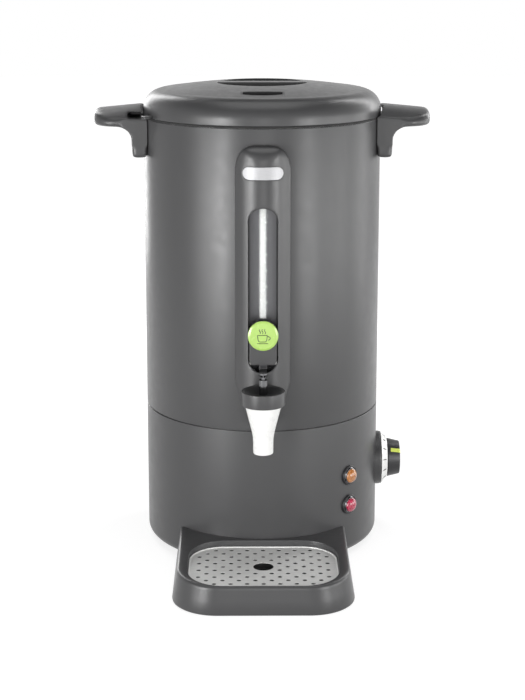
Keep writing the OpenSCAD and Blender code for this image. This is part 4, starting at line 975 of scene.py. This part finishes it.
def map_range(tree, value, from_a, from_b, to_a, to_b):
    """Maps a value from one range to another, and keeps it there."""
    node = tree.nodes.new("ShaderNodeMapRange")
    for socket, number in (("From Min", from_a), ("From Max", from_b),
                           ("To Min", to_a), ("To Max", to_b)):
        node.inputs[socket].default_value = number
    tree.links.new(value, node.inputs["Value"])
    return node.outputs["Result"]


def pale(name, colour, near, far):
    """A diffuse stage surface that the background's rays see brighter, most of all far out."""
    material = bpy.data.materials.new(name)
    material.use_nodes = True
    tree = material.node_tree
    tree.nodes.clear()
    new, link = tree.nodes.new, tree.links.new
    place, distance, scaled = (new("ShaderNodeTexCoord"), new("ShaderNodeVectorMath"),
                               new("ShaderNodeMath"))
    distance.operation, scaled.operation = "LENGTH", "MULTIPLY"
    link(place.outputs["Object"], distance.inputs[0])
    link(sees_background(tree), scaled.inputs[0])
    link(map_range(tree, distance.outputs["Value"], 0.3, 0.8, near, far), scaled.inputs[1])
    diffuse, shine, both, out = (new("ShaderNodeBsdfDiffuse"), new("ShaderNodeEmission"),
                                 new("ShaderNodeAddShader"), new("ShaderNodeOutputMaterial"))
    diffuse.inputs["Color"].default_value = colour
    link(scaled.outputs[0], shine.inputs["Strength"])
    link(diffuse.outputs[0], both.inputs[0])
    link(shine.outputs[0], both.inputs[1])
    link(both.outputs[0], out.inputs["Surface"])
    return material


def make_floor():
    half = 6
    mesh = bpy.data.meshes.new("floor")
    mesh.from_pydata([(-half, -half, 0), (half, -half, 0), (half, half, 0), (-half, half, 0)], [],
                     [(0, 1, 2, 3)])
    mesh.materials.append(pale("pale floor", (0.35, 0.35, 0.35, 1), 0.78, 1.0))
    floor = bpy.data.objects.new("floor", mesh)
    bpy.context.scene.collection.objects.link(floor)
    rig.stage(floor)


def make_world(ambient, overhead):
    """White all round for the camera; dim for diffuse light, and darker overhead in mirrors."""
    world = bpy.data.worlds.new("studio")
    bpy.context.scene.world = world
    world.use_nodes = True
    tree = world.node_tree
    tree.nodes.clear()
    new, link = tree.nodes.new, tree.links.new
    place, parts, path, seen = (new("ShaderNodeTexCoord"), new("ShaderNodeSeparateXYZ"),
                                new("ShaderNodeLightPath"), new("ShaderNodeMath"))
    dim, bright, mix, out = (new("ShaderNodeBackground"), new("ShaderNodeBackground"),
                             new("ShaderNodeMixShader"), new("ShaderNodeOutputWorld"))
    seen.operation = "MAXIMUM"
    link(place.outputs["Generated"], parts.inputs[0])
    link(map_range(tree, parts.outputs["Z"], 0.3, 0.75, 1, overhead), seen.inputs[0])
    link(path.outputs["Is Camera Ray"], seen.inputs[1])
    link(seen.outputs[0], bright.inputs["Strength"])
    dim.inputs["Strength"].default_value = ambient
    dim.inputs["Color"].default_value = bright.inputs["Color"].default_value = (1, 1, 1, 1)
    link(sees_background(tree), mix.inputs["Fac"])
    link(dim.outputs[0], mix.inputs[1])
    link(bright.outputs[0], mix.inputs[2])
    link(mix.outputs[0], out.inputs["Surface"])


def softbox(name, azimuth, height, distance, width, tall, power):
    """An area light facing the urn; azimuth 0 is in front, positive towards +X."""
    light = bpy.data.lights.new(name, "AREA")
    light.shape, light.size, light.size_y, light.energy = "RECTANGLE", width, tall, power
    lamp = bpy.data.objects.new(name, light)
    bpy.context.scene.collection.objects.link(lamp)
    angle = math.radians(azimuth)
    lamp.location = (distance*math.sin(angle), -distance*math.cos(angle), height)
    aim = Vector((0, 0, 0.25)) - lamp.location
    lamp.rotation_euler = aim.to_track_quat("-Z", "Y").to_euler()
    lamp.visible_camera = False


def make_camera():
    """The photo's view from slightly above, with a small shift that centres the urn."""
    azimuth, pitch, distance = math.radians(-0.46), math.radians(11.43), 1.7705
    target = Vector((0.0006, 0, 0.3003))
    level = math.cos(pitch)
    back = Vector((math.sin(azimuth)*level, -math.cos(azimuth)*level, math.sin(pitch)))
    data = bpy.data.cameras.new("camera")
    data.lens = 1623.7/700*36
    data.sensor_width = 36
    data.shift_y = -0.12
    camera = bpy.data.objects.new("camera", data)
    bpy.context.scene.collection.objects.link(camera)
    camera.location = target + back*distance
    camera.rotation_euler = (-back).to_track_quat("-Z", "Y").to_euler()
    bpy.context.scene.camera = camera


make_floor()
make_world(0.15, 0.12)
softbox("key left", -37, 0.26, 1.3, 0.28, 0.48, 8.8)
softbox("side left", -54, 0.26, 1.3, 0.22, 0.48, 2.6)
softbox("front right", 42, 0.26, 1.3, 0.34, 0.48, 5.2)
softbox("side right", 72, 0.26, 1.3, 0.7, 0.48, 4.2)
softbox("far right", 105, 0.26, 1.3, 0.5, 0.48, 2.2)
softbox("back left", -150, 0.7, 1.3, 0.3, 1.4, 8)
softbox("back right", 130, 1.0, 1.3, 0.3, 1.4, 8)
softbox("front", 2, 0.3, 1.3, 0.3, 0.5, 1.6)
softbox("top", 0, 1.9, 0.2, 1.3, 1.3, 10)
make_camera()
bpy.context.scene.view_settings.view_transform = "Standard"

visual_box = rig.bounds()
with open("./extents.json", "w") as size_file:
    json.dump({"cad": [list(v) for v in cad_box], "visual": [list(v) for v in visual_box]}, size_file)
